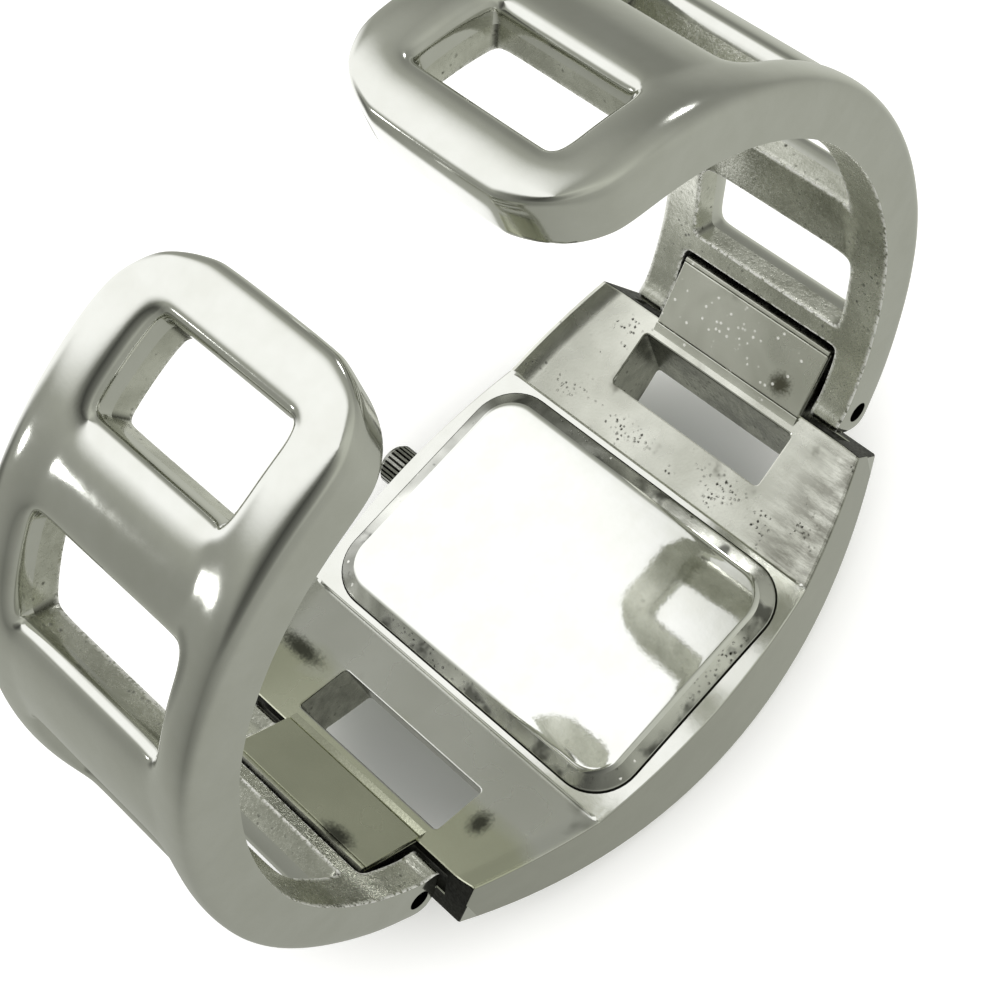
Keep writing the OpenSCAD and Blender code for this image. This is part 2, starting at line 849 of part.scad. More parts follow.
// One window cut straight through an arm, with bevelled outer edges
module arm_window(w) {
    size = [w[3], 2 * w[4]];
    grow = 2 * [bar_bevel, rail_bevel] * (bevel_depth + 1) / bevel_depth;
    translate([w[0][0], 0, w[0][1]])
        rotate([0, 90 - w[2], 0]) {
            translate([0, 0, w[1] - 3])
                linear_extrude(arm_t + 6)
                    round_rect(w[3] / 2, w[4], window_corner);
            translate([0, 0, w[1] + arm_t - bevel_depth])
                linear_extrude(bevel_depth + 1,
                    scale = [(size[0] + grow[0]) / size[0], (size[1] + grow[1]) / size[1]])
                    square(size - [eps, eps], center = true);
        }
}

// The rounded plan of an arm's tip, as the material to cut away
module tip_trim() {
    corner_y = arm_half_w - tip_corner;
    for (s = [-1, 1])
        translate([0, 0, upper_c[1] + 10])
            linear_extrude(30)
                difference() {
                    translate([tip_x - 1, s > 0 ? corner_y : -arm_half_w - 1])
                        square([tip_corner + 1, tip_corner + 1]);
                    translate([tip_x + tip_corner, s * corner_y])
                        circle(r = tip_corner, $fn = 96);
                }
}

module arm() {
    difference() {
        difference() {
            union() {
                arm_arc(upper_c, upper_r, side_end, tip_angle);
                arm_arc(side_c, side_r, 0, side_end);
                arm_arc(lower_c, lower_r, arm_start, 0);
                translate([upper_c[0], 0, upper_c[1]])
                    rotate([0, 90 - tip_angle, 0])
                        translate([0, 0, upper_r + arm_t / 2])
                            rod_y(arm_t / 2, 0, 0, -arm_half_w + 0.5, arm_half_w - 0.5);
                rod_y(ear_r, pin_x, pin_z, -arm_half_w, arm_half_w);
            }
            tip_trim();
        }
        // Slot for the tongue, up to the first bar
        translate([lower_c[0], 0, lower_c[1]])
            rotate([0, -bar_wall, 0])
                translate([10, -ear_in, -20])
                    cube([30, 2 * ear_in, 20]);
        rod_y(pin_r + run_gap, pin_x, pin_z, -arm_half_w - 1, arm_half_w + 1);
        for (bar = BARS)
            bar_recess_cut(bar);
        for (w = WINDOWS)
            arm_window(w);
    }
}

module arm_12() {
    color("silver")
        arm();
}

module arm_6() {
    color("silver")
        mirror([1, 0, 0])
            arm();
}

case_frame();
crystal();
crystal_gasket();
dial();
hour_markers();
case_back();
back_gasket();
movement_holder();
main_plate();
train_bridge();
battery();
battery_clamp();
coil_core();
coil();
stator();
circuit_board();
quartz_can();
movement_screws();
crown_tube();
crown();
crown_gasket();
stem();
setting_lever();
fourth_wheel();
seconds_hand();
centre_wheel();
minute_hand();
hour_wheel();
hour_hand();
minute_wheel();
third_wheel();
fifth_wheel();
rotor();
hinge_pin(0);  // hinge_pin_12
hinge_pin(1);  // hinge_pin_6
hinge_spring(0);  // hinge_spring_12
hinge_spring(1);  // hinge_spring_6
hinge_cover(0);  // hinge_cover_12
hinge_cover(1);  // hinge_cover_6
arm_12();
arm_6();
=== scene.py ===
"""Cuff watch seen from behind: plated case, pressed-on back and two hinged open-link arms.

The watch lies on its crystal with both arms up. Sizes are in millimetres until a piece
is finished, and then in metres, as the frame is.
"""
import json
import math
from functools import partial

import bmesh
import bpy
from mathutils import Matrix, Vector

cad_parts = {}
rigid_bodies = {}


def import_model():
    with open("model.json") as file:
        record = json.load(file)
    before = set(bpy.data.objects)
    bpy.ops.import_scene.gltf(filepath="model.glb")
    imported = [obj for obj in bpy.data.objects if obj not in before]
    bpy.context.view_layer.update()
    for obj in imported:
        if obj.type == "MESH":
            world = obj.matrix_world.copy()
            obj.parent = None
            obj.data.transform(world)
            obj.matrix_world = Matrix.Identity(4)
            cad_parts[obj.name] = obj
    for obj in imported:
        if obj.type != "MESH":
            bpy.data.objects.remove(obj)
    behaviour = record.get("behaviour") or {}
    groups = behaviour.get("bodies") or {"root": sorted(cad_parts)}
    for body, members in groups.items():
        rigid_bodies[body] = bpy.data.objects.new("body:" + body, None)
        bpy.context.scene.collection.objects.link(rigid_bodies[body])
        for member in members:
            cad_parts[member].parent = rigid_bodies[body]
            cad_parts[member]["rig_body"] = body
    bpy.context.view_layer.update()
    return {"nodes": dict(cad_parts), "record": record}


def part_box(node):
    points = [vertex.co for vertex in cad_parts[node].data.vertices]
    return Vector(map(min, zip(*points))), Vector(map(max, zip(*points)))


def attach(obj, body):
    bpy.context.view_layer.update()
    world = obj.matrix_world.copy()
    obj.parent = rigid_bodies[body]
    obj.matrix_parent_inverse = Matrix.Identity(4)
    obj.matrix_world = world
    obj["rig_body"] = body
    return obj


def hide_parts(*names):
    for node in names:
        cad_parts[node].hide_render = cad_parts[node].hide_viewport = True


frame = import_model()

MM = 0.001
scene = bpy.context.scene
scene.view_settings.view_transform = "Standard"


# Camera, fitted to the case's corners in the photo: its place and the ways it was turned
CAMERA_PLACE = Vector((-20.96, -57.65, 137.17)) * MM
CAMERA_RIGHT = Vector((0.67196742, -0.70240329, -0.23471131))
CAMERA_DOWN = Vector((-0.72314377, -0.55395307, -0.41255192))
CAMERA_AHEAD = Vector((0.15975878, 0.44695147, -0.88017698))
CAMERA_LENS = 70.65
CAMERA_SENSOR = 36

camera_data = bpy.data.cameras.new("camera")
camera_data.sensor_width = CAMERA_SENSOR
camera_data.lens = CAMERA_LENS
camera_data.clip_start = 5 * MM
camera = bpy.data.objects.new("camera", camera_data)
scene.collection.objects.link(camera)
turn = Matrix((CAMERA_RIGHT, -CAMERA_DOWN, -CAMERA_AHEAD)).transposed().to_4x4()
camera.matrix_world = Matrix.Translation(CAMERA_PLACE) @ turn
scene.camera = camera


# Colours and nodes

def linear(hex_code):
    """The linear colour of an sRGB hex code."""
    parts = [int(hex_code[i:i + 2], 16) / 255 for i in (1, 3, 5)]
    return tuple(c / 12.92 if c <= 0.04045 else ((c + 0.055) / 1.055) ** 2.4
                 for c in parts) + (1.0,)


def add_node(tree, kind, inputs=None, take=0, stops=(), **settings):
    """Adds a shader node and gives the output to take, or all outputs if that is None.

    A socket in inputs is linked, and any other value is set. The stops of a colour ramp
    are (place, hex code or grey level).
    """
    made = tree.nodes.new("ShaderNode" + kind)
    for name, value in settings.items():
        setattr(made, name, value)
    for name, value in (inputs or {}).items():
        if isinstance(value, bpy.types.NodeSocket):
            tree.links.new(value, made.inputs[name])
        else:
            made.inputs[name].default_value = value
    if stops:
        elements = made.color_ramp.elements
        while len(elements) < len(stops):
            elements.new(0.5)
        for element, (place, tone) in zip(elements, stops):
            element.position = place
            element.color = linear(tone) if isinstance(tone, str) else (tone, tone, tone, 1)
    return made.outputs if take is None else made.outputs[take]


def from_to(value, low, high, start=0.0, end=1.0):
    """Inputs that turn a value's range, low to high, into start to end."""
    return {"Value": value, "From Min": low, "From Max": high, "To Min": start, "To Max": end}


EASED = {"interpolation_type": "SMOOTHSTEP"}


def new_material(name, **values):
    """A material, its Principled shader with plain values set, and what adds its nodes."""
    material = bpy.data.materials.new(name)
    material.use_nodes = True
    shader = material.node_tree.nodes["Principled BSDF"]
    for socket, value in values.items():
        shader.inputs[socket.replace("_", " ")].default_value = value
    return material, shader, partial(add_node, material.node_tree)


def connect(shader, sockets):
    """Links a shader's sockets, given by name."""
    for name, value in sockets.items():
        shader.id_data.links.new(value, shader.inputs[name])


def object_point(add):
    """The point's place on the piece, in millimetres."""
    place = add("TexCoord", take="Object")
    return add("VectorMath", {0: place, "Scale": 1 / MM}, operation="SCALE")


def ellipse_distance(add, at, x, y, half_x, half_y):
    """How far a point is from an upright ellipse's middle: 1 is on its outline, at any height."""
    off = add("VectorMath", {0: at, 1: (x, y, 0)}, operation="SUBTRACT")
    off = add("VectorMath", {0: off, 1: (half_x, half_y, 1000)}, operation="DIVIDE")
    return add("VectorMath", {0: off}, "Value", operation="LENGTH")


def painted(add, colour, *coats):
    """A colour with coats over it, each a (share, colour)."""
    for share, coat in coats:
        colour = add("Mix", {"Factor": share, "A": colour, "B": coat}, "Result",
                     data_type="RGBA")
    return colour


# Finishes of the plated metal

# Dirt, wear and painted light: dirt in small pits, grime and painted shade in inner corners, wear
# and a painted highlight on rubbed edges, dirt in deep pits, and painted glints on lumps
PIT_DIRT = linear("#3B3A34")
CORNER_GRIME_AND_SHADE = linear("#33322C")
RUBBED_EDGE_HIGHLIGHT = linear("#F8F8F2")
DEEP_PIT = linear("#2E2C27")
PAINTED_GLINT = linear("#FBFBF4")

# Sizes of the patterns, in millimetres
PATCH_MM = 2.857      # clouds of thicker and thinner plate
BROAD_MM = 6.25       # where the metal has been wiped
FINE_MM = 0.2222      # grit of the casting's skin, drawn coarser than it is so that it shows
PIT_CELL_MM = 0.3846  # spacing of the casting's gas pits
STREAK_MM = 1.667     # streaks left by fingers
PITS_PER_GRAIN = 0.55
# Height of the finest bumps, in metres
RELIEF = 0.02 * MM

# Along Y, where a lug plate's handled end is at its worst and where it has faded out
HANDLED_Y = (-12.5, -6.5)
# The streaks run along Y: finer than their size along X, and longer along Y
STREAK_STRETCH = (2.2, 0.4, 1)


def wear_and_painted_edge_light(add, shader, grain, colour, dull):
    """Paints convex edges bright, rubbed wear with a painted highlight, and inner corners dark,
    grime with painted shade, where a mesh marks them.
    """
    rubbed_highlight = add("Attribute", take="Fac", attribute_name="rubbed_highlight")
    grime_and_shade = add("Attribute", take="Fac", attribute_name="grime_and_shade")
    edge_highlight_share = add("MapRange", from_to(grain, 0.4, 0.52))
    edge_highlight_share = add("Math", {0: rubbed_highlight, 1: edge_highlight_share}, operation="MULTIPLY")
    colour = painted(add, colour, (grime_and_shade, CORNER_GRIME_AND_SHADE), (edge_highlight_share, RUBBED_EDGE_HIGHLIGHT))
    dull = add("Math", {0: edge_highlight_share, 1: 0.2, 2: dull}, operation="MULTIPLY_ADD")
    # Less metal on a marked edge lets it read white under any light: a painted highlight over the
    # rubbed wear
    edge_highlight_metal = add("Math", {0: edge_highlight_share, 1: -0.8, 2: 1.0}, operation="MULTIPLY_ADD")
    connect(shader, {"Metallic": edge_highlight_metal})
    return colour, dull


def chrome(name, light, dark, sheen, grain_mm, pits=0.0):
    """Plated metal: two tones, lowest and highest roughness, grain and depth of its pits."""
    material, shader, add = new_material(name, Metallic=1.0)
    at = object_point(add)
    patch = add("TexNoise", {"Vector": at, "Scale": 1 / PATCH_MM, "Detail": 3,
                "Roughness": 0.6})
    grain = add("TexNoise", {"Vector": at, "Scale": 1 / grain_mm, "Detail": 4,
                "Roughness": 0.65})
    speck = add("TexVoronoi", {"Vector": at, "Scale": PITS_PER_GRAIN / grain_mm})
    # A pit shows in the middle of a speck's cell, where its patch of casting is rough
    pit = add("MapRange", from_to(speck, 0.1, 0.32, 1, 0))
    rough = add("Math", {0: patch, 1: grain}, operation="MULTIPLY")
    rough = add("MapRange", from_to(rough, 0.25, 0.36))
    depth = add("Math", {0: pit, 1: rough}, operation="MULTIPLY")
    depth = add("Math", {0: depth, 1: pits}, operation="MULTIPLY")
    colour = add("ValToRGB", {"Fac": patch}, stops=[(0.35, dark), (0.65, light)])
    colour = painted(add, colour, (depth, PIT_DIRT))
    dull = add("MapRange", from_to(grain, 0.3, 0.7, *sheen))
    dull = add("Math", {0: depth, 1: 0.35, 2: dull}, operation="MULTIPLY_ADD")
    height = add("Math", {0: depth, 1: -0.6, 2: grain}, operation="MULTIPLY_ADD")
    bump = add("Bump", {"Height": height, "Distance": RELIEF, "Strength": 0.15 + pits})
    if pits:
        colour, dull = wear_and_painted_edge_light(add, shader, grain, colour, dull)
    connect(shader, {"Base Color": colour, "Roughness": dull, "Normal": bump})
    return material


def marked(add, at, ragged, mark):
    """1 within a mark (x, y, half x, half y, in mm) and 0 outside, with a ragged soft edge."""
    off = ellipse_distance(add, at, *mark)
    off = add("Math", {0: ragged, 1: 1.1, 2: off}, operation="MULTIPLY_ADD")
    return add("MapRange", from_to(off, 0.8, 1.7, 1, 0), **EASED)


def with_marks(add, at, ragged, share, marks):
    """A share that also reaches 1 within each of the marks."""
    for mark in marks:
        share = add("Math", {0: share, 1: marked(add, at, ragged, mark)},
                    operation="MAXIMUM")
    return share


def handled_end(add, at, most):
    """Streaks at the end away from the crown, which is handled most and has gone darker."""
    y = add("SeparateXYZ", {"Vector": at}, "Y")
    end = add("MapRange", from_to(y, *HANDLED_Y, most, 0), **EASED)
    streak = add("VectorMath", {0: at, 1: STREAK_STRETCH}, operation="MULTIPLY")
    streak = add("TexNoise", {"Vector": streak, "Scale": 1 / STREAK_MM, "Detail": 5,
                 "Roughness": 0.7})
    streak = add("MapRange", from_to(streak, 0.35, 0.6))
    return add("Math", {0: end, 1: streak}, operation="MULTIPLY")


def satin(name, light, dark, stain, sheen, smear_mm, stain_over, pit_under, sparkle=0.0,
          handled=0.0, dark_toward_hinge_x=None, smudges=(), pit_places=(), glints=()):
    """Plated casting left as it came: smudges, clusters of pits and a few painted glints, white
    specks on its lumps.

    Stains lie where the smear's noise is over one level and pits where it is under
    another. Sparkle is the share of cells with a painted glint, a white speck, and glints
    are places with more of them. The finish darkens toward the hinge, fading out between
    two given places along X.
    """
    material, shader, add = new_material(name, Metallic=1.0)
    at = object_point(add)
    broad = add("TexNoise", {"Vector": at, "Scale": 1 / BROAD_MM, "Detail": 2,
                "Distortion": 0.6})
    if dark_toward_hinge_x:
        # Darkest toward the hinge, fading out toward the case back
        x = add("SeparateXYZ", {"Vector": at}, "X")
        clear = add("MapRange", from_to(x, *dark_toward_hinge_x, -0.2, 0.4), clamp=False)
        broad = add("Math", {0: broad, 1: clear})
    smear = add("TexNoise", {"Vector": at, "Scale": 1 / smear_mm, "Detail": 3,
                "Distortion": 0.2})
    fine = add("TexNoise", {"Vector": at, "Scale": 1 / FINE_MM, "Detail": 4,
               "Roughness": 0.7})
    cells = add("TexVoronoi", {"Vector": at, "Scale": 1 / PIT_CELL_MM}, None)
    stained = add("MapRange", from_to(smear, stain_over, stain_over + 0.14, 0, 0.75),
                  **EASED)
    stained = with_marks(add, at, fine, stained, smudges)
    # Pits lie inside their own clusters, and each fills the middle of its cell
    cluster = add("MapRange", from_to(smear, pit_under - 0.08, pit_under, 1, 0), **EASED)
    cluster = with_marks(add, at, fine, cluster, pit_places)
    middle = add("MapRange", from_to(cells["Distance"], 0.18, 0.4, 1, 0))
    ragged = add("MapRange", from_to(fine, 0.43, 0.54))
    pit = add("Math", {0: middle, 1: cluster}, operation="MULTIPLY")
    pit = add("Math", {0: pit, 1: ragged}, operation="MULTIPLY")
    dot = add("SeparateColor", {"Color": cells["Color"]})
    for mark in glints:
        dot = add("Math", {0: marked(add, at, fine, mark), 1: 0.3, 2: dot},
                  operation="MULTIPLY_ADD")
    dot = add("Math", {0: dot, 1: 1 - sparkle}, operation="GREATER_THAN")
    dot = add("Math", {0: dot, 1: middle}, operation="MULTIPLY")
    colour = add("ValToRGB", {"Fac": broad}, stops=[(0.35, dark), (0.62, light)])
    colour = painted(add, colour, (handled_end(add, at, handled), linear(stain)),
                     (stained, linear(stain)), (pit, DEEP_PIT), (dot, PAINTED_GLINT))
    dull = add("MapRange", from_to(smear, 0.35, 0.65, *sheen))
    dull = add("Math", {0: pit, 1: 0.3, 2: dull}, operation="MULTIPLY_ADD")
    height = add("Math", {0: pit, 1: -1.0, 2: fine}, operation="MULTIPLY_ADD")
    height = add("Math", {0: dot, 1: 1.5, 2: height}, operation="MULTIPLY_ADD")
    bump = add("Bump", {"Height": height, "Distance": RELIEF, "Strength": 0.25})
    # Specks have less metal, so they read white under any light: painted glints on the lumps
    lump = add("Math", {0: dot, 1: -0.7, 2: 1.0}, operation="MULTIPLY_ADD")
    connect(shader, {"Base Color": colour, "Metallic": lump, "Roughness": dull,
                     "Normal": bump})
    return material


# Chrome plate over polished zinc casting: mirror-like, soft orange-peel, thin hand wear
chrome_plate = chrome("chrome_plate", "#DADBD5", "#D5D6CF", (0.09, 0.13), 0.9)
# The same plate over the casting's own skin: duller, with small dark pits
cast_chrome = chrome("cast_chrome", "#E2E3D9", "#C4C5BA", (0.12, 0.34), 0.3, pits=0.8)
# Plated sides of the case: a darker copy of the plate, painted shade, with a softer shine
side_chrome_painted_shade = chrome("side_plate_painted_shade", "#BEBFB6", "#BABBB2", (0.12, 0.16), 0.9)
# Casting skin inside the windows and hinges, never polished: dark grey with a little bloom, made
# darker still as painted shade in these recesses
dark_cast_painted_shade = chrome("unpolished_casting_painted_shade", "#94958B", "#5E5F57", (0.22, 0.36), 0.35, pits=0.7)
# Black for the joints, the hinges' gaps and other deep hollows: grime, and painted shade where
# nearly no light comes back
grime_and_painted_shade = chrome("grime_and_painted_shade", "#33332E", "#171714", (0.35, 0.6), 0.25, pits=0.9)
# Polished stainless sheet of the case back: the clearest mirror of the watch
back_steel = chrome("back_steel", "#E8E9E5", "#E3E4DE", (0.03, 0.06), 1.6)
# Plated casting as it left the mould, wiped clean: pale satin with pits in clusters
lug_satin = satin("plated_casting_satin", "#DADBD1", "#C2C3B8", "#66655A", (0.2, 0.3),
                  smear_mm=2.8, stain_over=0.62, pit_under=0.44, handled=0.75,
                  pit_places=[(12.6, 3, 0.9, 2.2), (13.3, -5, 1.1, 3.2)])
# The same on the 6 o'clock half, darker and more olive toward the hinge, with a few soft smudges
lug_dark_to_hinge = satin("plated_casting_darker_to_hinge", "#D3D4CE", "#C6C8B3", "#55564D", (0.2, 0.3),
                 smear_mm=7, stain_over=0.66, pit_under=0.34, dark_toward_hinge_x=(-18, -12.5),
                 smudges=[(-15.6, 10.8, 0.9, 2.6), (-16.4, -8.8, 1.2, 0.9),
                          (-23.6, -3.6, 0.9, 1.7)])
# Tongue and cover at 12, with lumps of loose plating and painted glints, white specks, on them
tab_satin = satin("plated_casting_lumpy", "#E2E3D9", "#CFD0C5", "#6B6A5D", (0.26, 0.38),
                  smear_mm=5, stain_over=0.66, pit_under=0.34, sparkle=0.08,
                  smudges=[(20.9, -4.4, 0.8, 1.1)],
                  glints=[(21.8, 1.2, 1.6, 3.6), (20.9, -3.4, 1.2, 1.5)])
# Polished border of the case back: light and dark specks in one band, and a darker tone that is a
# painted reflection of dark surroundings
border_specks_painted_reflection = satin("rolled_border_painted_dark_reflection", "#E4E5DE", "#8A8B84", "#33332E", (0.14, 0.34),
                     smear_mm=2.4, stain_over=0.52, pit_under=0.4, sparkle=0.03,
                     pit_places=[(-9.8, 3, 1.2, 8), (3, -13.8, 5, 1)])


# Finishes of the crown, the dial side and the movement

def plain(name, low, high, grain_mm, **values):
    """A finish of two close tones in a fine grain, with the shader's values as given."""
    material, shader, add = new_material(name, **values)
    grain = add("TexNoise", {"Vector": object_point(add), "Scale": 1 / grain_mm,
                "Detail": 3})
    colour = add("ValToRGB", {"Fac": grain}, stops=[(0.35, low), (0.65, high)])
    bump = add("Bump", {"Height": grain, "Distance": RELIEF / 2, "Strength": 0.2})
    connect(shader, {"Base Color": colour, "Normal": bump})
    return material


# Nickel of the crown, dulled by fingers: mid grey with a broad shine
crown_nickel = plain("worn_nickel_plate", "#80817A", "#A4A59D", 0.12, Metallic=1.0,
                     Roughness=0.26)
# Silvered dial under clear lacquer: pale and even
dial_paint = plain("silvered_dial_lacquer", "#D8D7CF", "#E2E1D9", 0.2, Roughness=0.4)
# Lacquered hands: near black, with a small highlight
hand_black = plain("black_lacquered_hands", "#15161A", "#1E1F23", 0.2, Roughness=0.3)
# Cut and polished markers: small bright flashes
marker_metal = plain("polished_applied_markers", "#CFCFC8", "#DADAD4", 0.3, Metallic=1.0,
                     Roughness=0.15)
# Moulded nitrile rubber: matt black
seal_rubber = plain("black_nitrile_seal", "#1C1D1E", "#26272A", 0.15, Roughness=0.7)
# Moulded acetal: milky and half matt
holder_plastic = plain("moulded_acetal_holder", "#D6D3C8", "#DEDBD1", 0.4, Roughness=0.45)
# Grained brass of the movement's plates and wheels: a warm, brushed yellow
movement_brass = plain("grained_movement_brass", "#C2A25A", "#D0B26C", 0.08, Metallic=1.0,
                       Roughness=0.32)
# Polished carbon steel of the small turned parts: a cold, even grey
steel_part = plain("polished_carbon_steel", "#B9BABA", "#C8C9C9", 0.2, Metallic=1.0,
                   Roughness=0.22)
# Sintered magnet of the rotor: dark and dull
magnet_dark = plain("sintered_magnet", "#4C4B4A", "#5C5B5A", 0.1, Metallic=0.6,
                    Roughness=0.5)
# Enamelled copper wire of the coil, too fine to show turn by turn: a reddish grain
coil_copper = plain("enamelled_copper_wire", "#A9532B", "#BF6A3A", 0.05, Metallic=0.8,
                    Roughness=0.35)
# Glass and epoxy board: dull green
board_green = plain("glass_epoxy_board", "#2C5A3B", "#356846", 0.1, Roughness=0.4)
# Polished mineral glass: clear, with sharp reflections
crystal_glass = new_material("mineral_crystal", Roughness=0.02, IOR=1.52,
                             Transmission_Weight=1.0)[0]

SLOT_MATERIAL = {
    "chrome_plate": chrome_plate, "cast_chrome": cast_chrome, "back_steel": back_steel,
    "crystal_glass": crystal_glass, "dial_paint": dial_paint, "hand_black": hand_black,
    "marker_metal": marker_metal, "seal_rubber": seal_rubber,
    "holder_plastic": holder_plastic, "movement_brass": movement_brass,
    "steel_part": steel_part, "magnet_dark": magnet_dark, "coil_copper": coil_copper,
    "board_green": board_green,
}
# What the tongue and the cover of each hinge are finished in
HINGE_SKIN = {12: tab_satin, 6: lug_dark_to_hinge}


# What finishes and shapes the pieces

SHARP_DEG = 30       # an edge of a CAD node's copy is softened from this angle on

body_of_node = {name: obj["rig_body"] for name, obj in frame["nodes"].items()}


def shade(mesh, over_deg):
    """Shades a mesh smooth, and leaves its edges over an angle sharp."""
    mesh.shade_smooth()
    mesh.set_sharp_from_angle(angle=math.radians(over_deg))


def finish_piece(name, bm, node, materials, smooth_deg):
    """Makes the bmesh an object in metres that rides with its node's body and stands for it."""
    bmesh.ops.scale(bm, vec=(MM,) * 3, verts=bm.verts)
    mesh = bpy.data.meshes.new(name)
    bm.to_mesh(mesh)
    bm.free()
    for material in materials:
        mesh.materials.append(material)
    shade(mesh, smooth_deg)
    piece = bpy.data.objects.new(name, mesh)
    scene.collection.objects.link(piece)
    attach(piece, body_of_node[node])
    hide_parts(node)
    return piece


def dress_faces(piece, finish_of):
    """Gives each face of a piece the finish that a function names for it."""
    for face in piece.data.polygons:
        face.material_index = piece.data.materials.find(finish_of(face).name)


def sharp_edges(bm, over_deg, at_least=0.0):
    """Edges sharper than an angle and at least so long."""
    bm.normal_update()
    return [e for e in bm.edges if e.calc_length() > at_least
            and e.calc_face_angle(0) > math.radians(over_deg)]


def bevel(bm, edges, width, segments=2):
    """Rounds edges, without letting the shortest of them hold back the rest."""
    bmesh.ops.bevel(bm, geom=edges, offset=width, segments=segments, profile=0.5,
                    affect="EDGES", clamp_overlap=False, material=-1)


def merged_copy(node):
    """A copy of a CAD node's mesh in millimetres, with its loose triangles joined."""
    bm = bmesh.new()
    bm.from_mesh(frame["nodes"][node].data)
    bmesh.ops.scale(bm, vec=(1 / MM,) * 3, verts=bm.verts)
    # First the exact doubles, and then the ends of the thinnest slivers
    for reach in (0.0005, 0.02):
        bmesh.ops.remove_doubles(bm, verts=bm.verts, dist=reach)
    bmesh.ops.dissolve_limit(bm, angle_limit=math.radians(0.2), verts=bm.verts,
                             edges=bm.edges)
    return bm


def dressed(node, slot, edge_mm, material=None):
    """A merged copy of a CAD node with its sharp edges softened."""
    bm = merged_copy(node)
    bevel(bm, sharp_edges(bm, SHARP_DEG, edge_mm), edge_mm)
    return finish_piece(node + "_dressed", bm, node,
                        [material or SLOT_MATERIAL[slot]], 12)


def flat_sheet(half_x, half_y, mid_x=0):
    """A flat face about a place on the X axis, for a cage to be cut and grown from."""
    bm = bmesh.new()
    bmesh.ops.create_grid(bm, x_segments=1, y_segments=1, size=0.5)
    bmesh.ops.scale(bm, vec=(2 * half_x, 2 * half_y, 1), verts=bm.verts)
    bmesh.ops.translate(bm, vec=(mid_x, 0, 0), verts=bm.verts)
    return bm


def cut_lines(bm, axis, places):
    """Cuts the whole mesh along flat planes across one axis."""
    normal = Vector((0, 0, 0))
    normal[axis] = 1
    for place in places:
        bmesh.ops.bisect_plane(bm, geom=bm.verts[:] + bm.edges[:] + bm.faces[:],
                               plane_co=normal * place, plane_no=normal, dist=1e-5)


def grown_down(bm, depth):
    """Grows a flat cage down to a closed plate of a thickness."""
    grown = bmesh.ops.extrude_face_region(bm, geom=bm.faces[:])
    deep = [v for v in grown["geom"] if isinstance(v, bmesh.types.BMVert)]
    bmesh.ops.translate(bm, vec=(0, 0, -depth), verts=deep)


def lofted(rings):
    """A closed shape grown through rings of as many points each, from the bottom up."""
    bm = bmesh.new()
    tops = [bm.faces.new([bm.verts.new(point) for point in rings[0]])]
    for ring in rings[1:]:
        grown = bmesh.ops.extrude_face_region(bm, geom=tops[-1:])["geom"]
        tops.append(next(part for part in grown if isinstance(part, bmesh.types.BMFace)))
        for corner, point in zip(tops[-1].verts, ring):
            corner.co = point
    # The faces between the first and the last lie inside
    bmesh.ops.delete(bm, geom=tops[1:-1], context="FACES_ONLY")
    bmesh.ops.recalc_face_normals(bm, faces=bm.faces)
    return bm


CORNER_STEPS = 12


def rounded_outline(half_x, half_y, corner):
    """Points of a flat rectangle with round corners, counterclockwise."""
    points = []
    for quarter, (sx, sy) in enumerate(((1, 1), (-1, 1), (-1, -1), (1, -1))):
        for i in range(CORNER_STEPS + 1):
            angle = math.radians(90 * (quarter + i / CORNER_STEPS))
            points.append((sx * (half_x - corner) + corner * math.cos(angle),
                           sy * (half_y - corner) + corner * math.sin(angle)))
    return points


def slab_rings(rows):
    """Lofted rounded rectangles; rows are (half x, half y, corner, z)."""
    return lofted([[(x, y, z) for x, y in rounded_outline(half_x, half_y, corner)]
                   for half_x, half_y, corner, z in rows])


def box_shape(low, high):
    """A closed box between two corners."""
    bm = bmesh.new()
    bmesh.ops.create_cube(bm, size=1)
    low, high = Vector(low), Vector(high)
    bmesh.ops.scale(bm, vec=high - low, verts=bm.verts)
    bmesh.ops.translate(bm, vec=(low + high) / 2, verts=bm.verts)
    return bm


def rod_along_y(radius, x, z, half):
    """A closed rod along Y."""
    bm = bmesh.new()
    bmesh.ops.create_cone(bm, cap_ends=True, segments=48, radius1=radius, radius2=radius,
                          depth=2 * half)
    bmesh.ops.rotate(bm, matrix=Matrix.Rotation(math.pi / 2, 3, "X"), verts=bm.verts)
    bmesh.ops.translate(bm, vec=(x, 0, z), verts=bm.verts)
    return bm


def cut_with(piece, tool_bm):
    """Cuts a piece with a closed shape in millimetres, and applies all its modifiers."""
    bmesh.ops.scale(tool_bm, vec=(MM,) * 3, verts=tool_bm.verts)
    tool_mesh = bpy.data.meshes.new("tool")
    tool_bm.to_mesh(tool_mesh)
    tool_bm.free()
    tool = bpy.data.objects.new("tool", tool_mesh)
    scene.collection.objects.link(tool)
    step = piece.modifiers.new("cut", "BOOLEAN")
    step.object = tool
    step.operation = "DIFFERENCE"
    step.solver = "EXACT"
    graph = bpy.context.evaluated_depsgraph_get()
    mesh = bpy.data.meshes.new_from_object(piece.evaluated_get(graph))
    piece.modifiers.clear()
    old, piece.data = piece.data, mesh
    bpy.data.meshes.remove(old)
    bpy.data.objects.remove(tool)


def between(table, s):
    """Reads a table of (place, value) rows at s, straight between the rows."""
    if s <= table[0][0]:
        return table[0][1]
    for (s0, v0), (s1, v1) in zip(table, table[1:]):
        if s <= s1:
            return v0 + (v1 - v0) * (s - s0) / (s1 - s0)
    return table[-1][1]


# Arms: a plate with windows, bent round three arcs seen along Y from the hinge to the tip

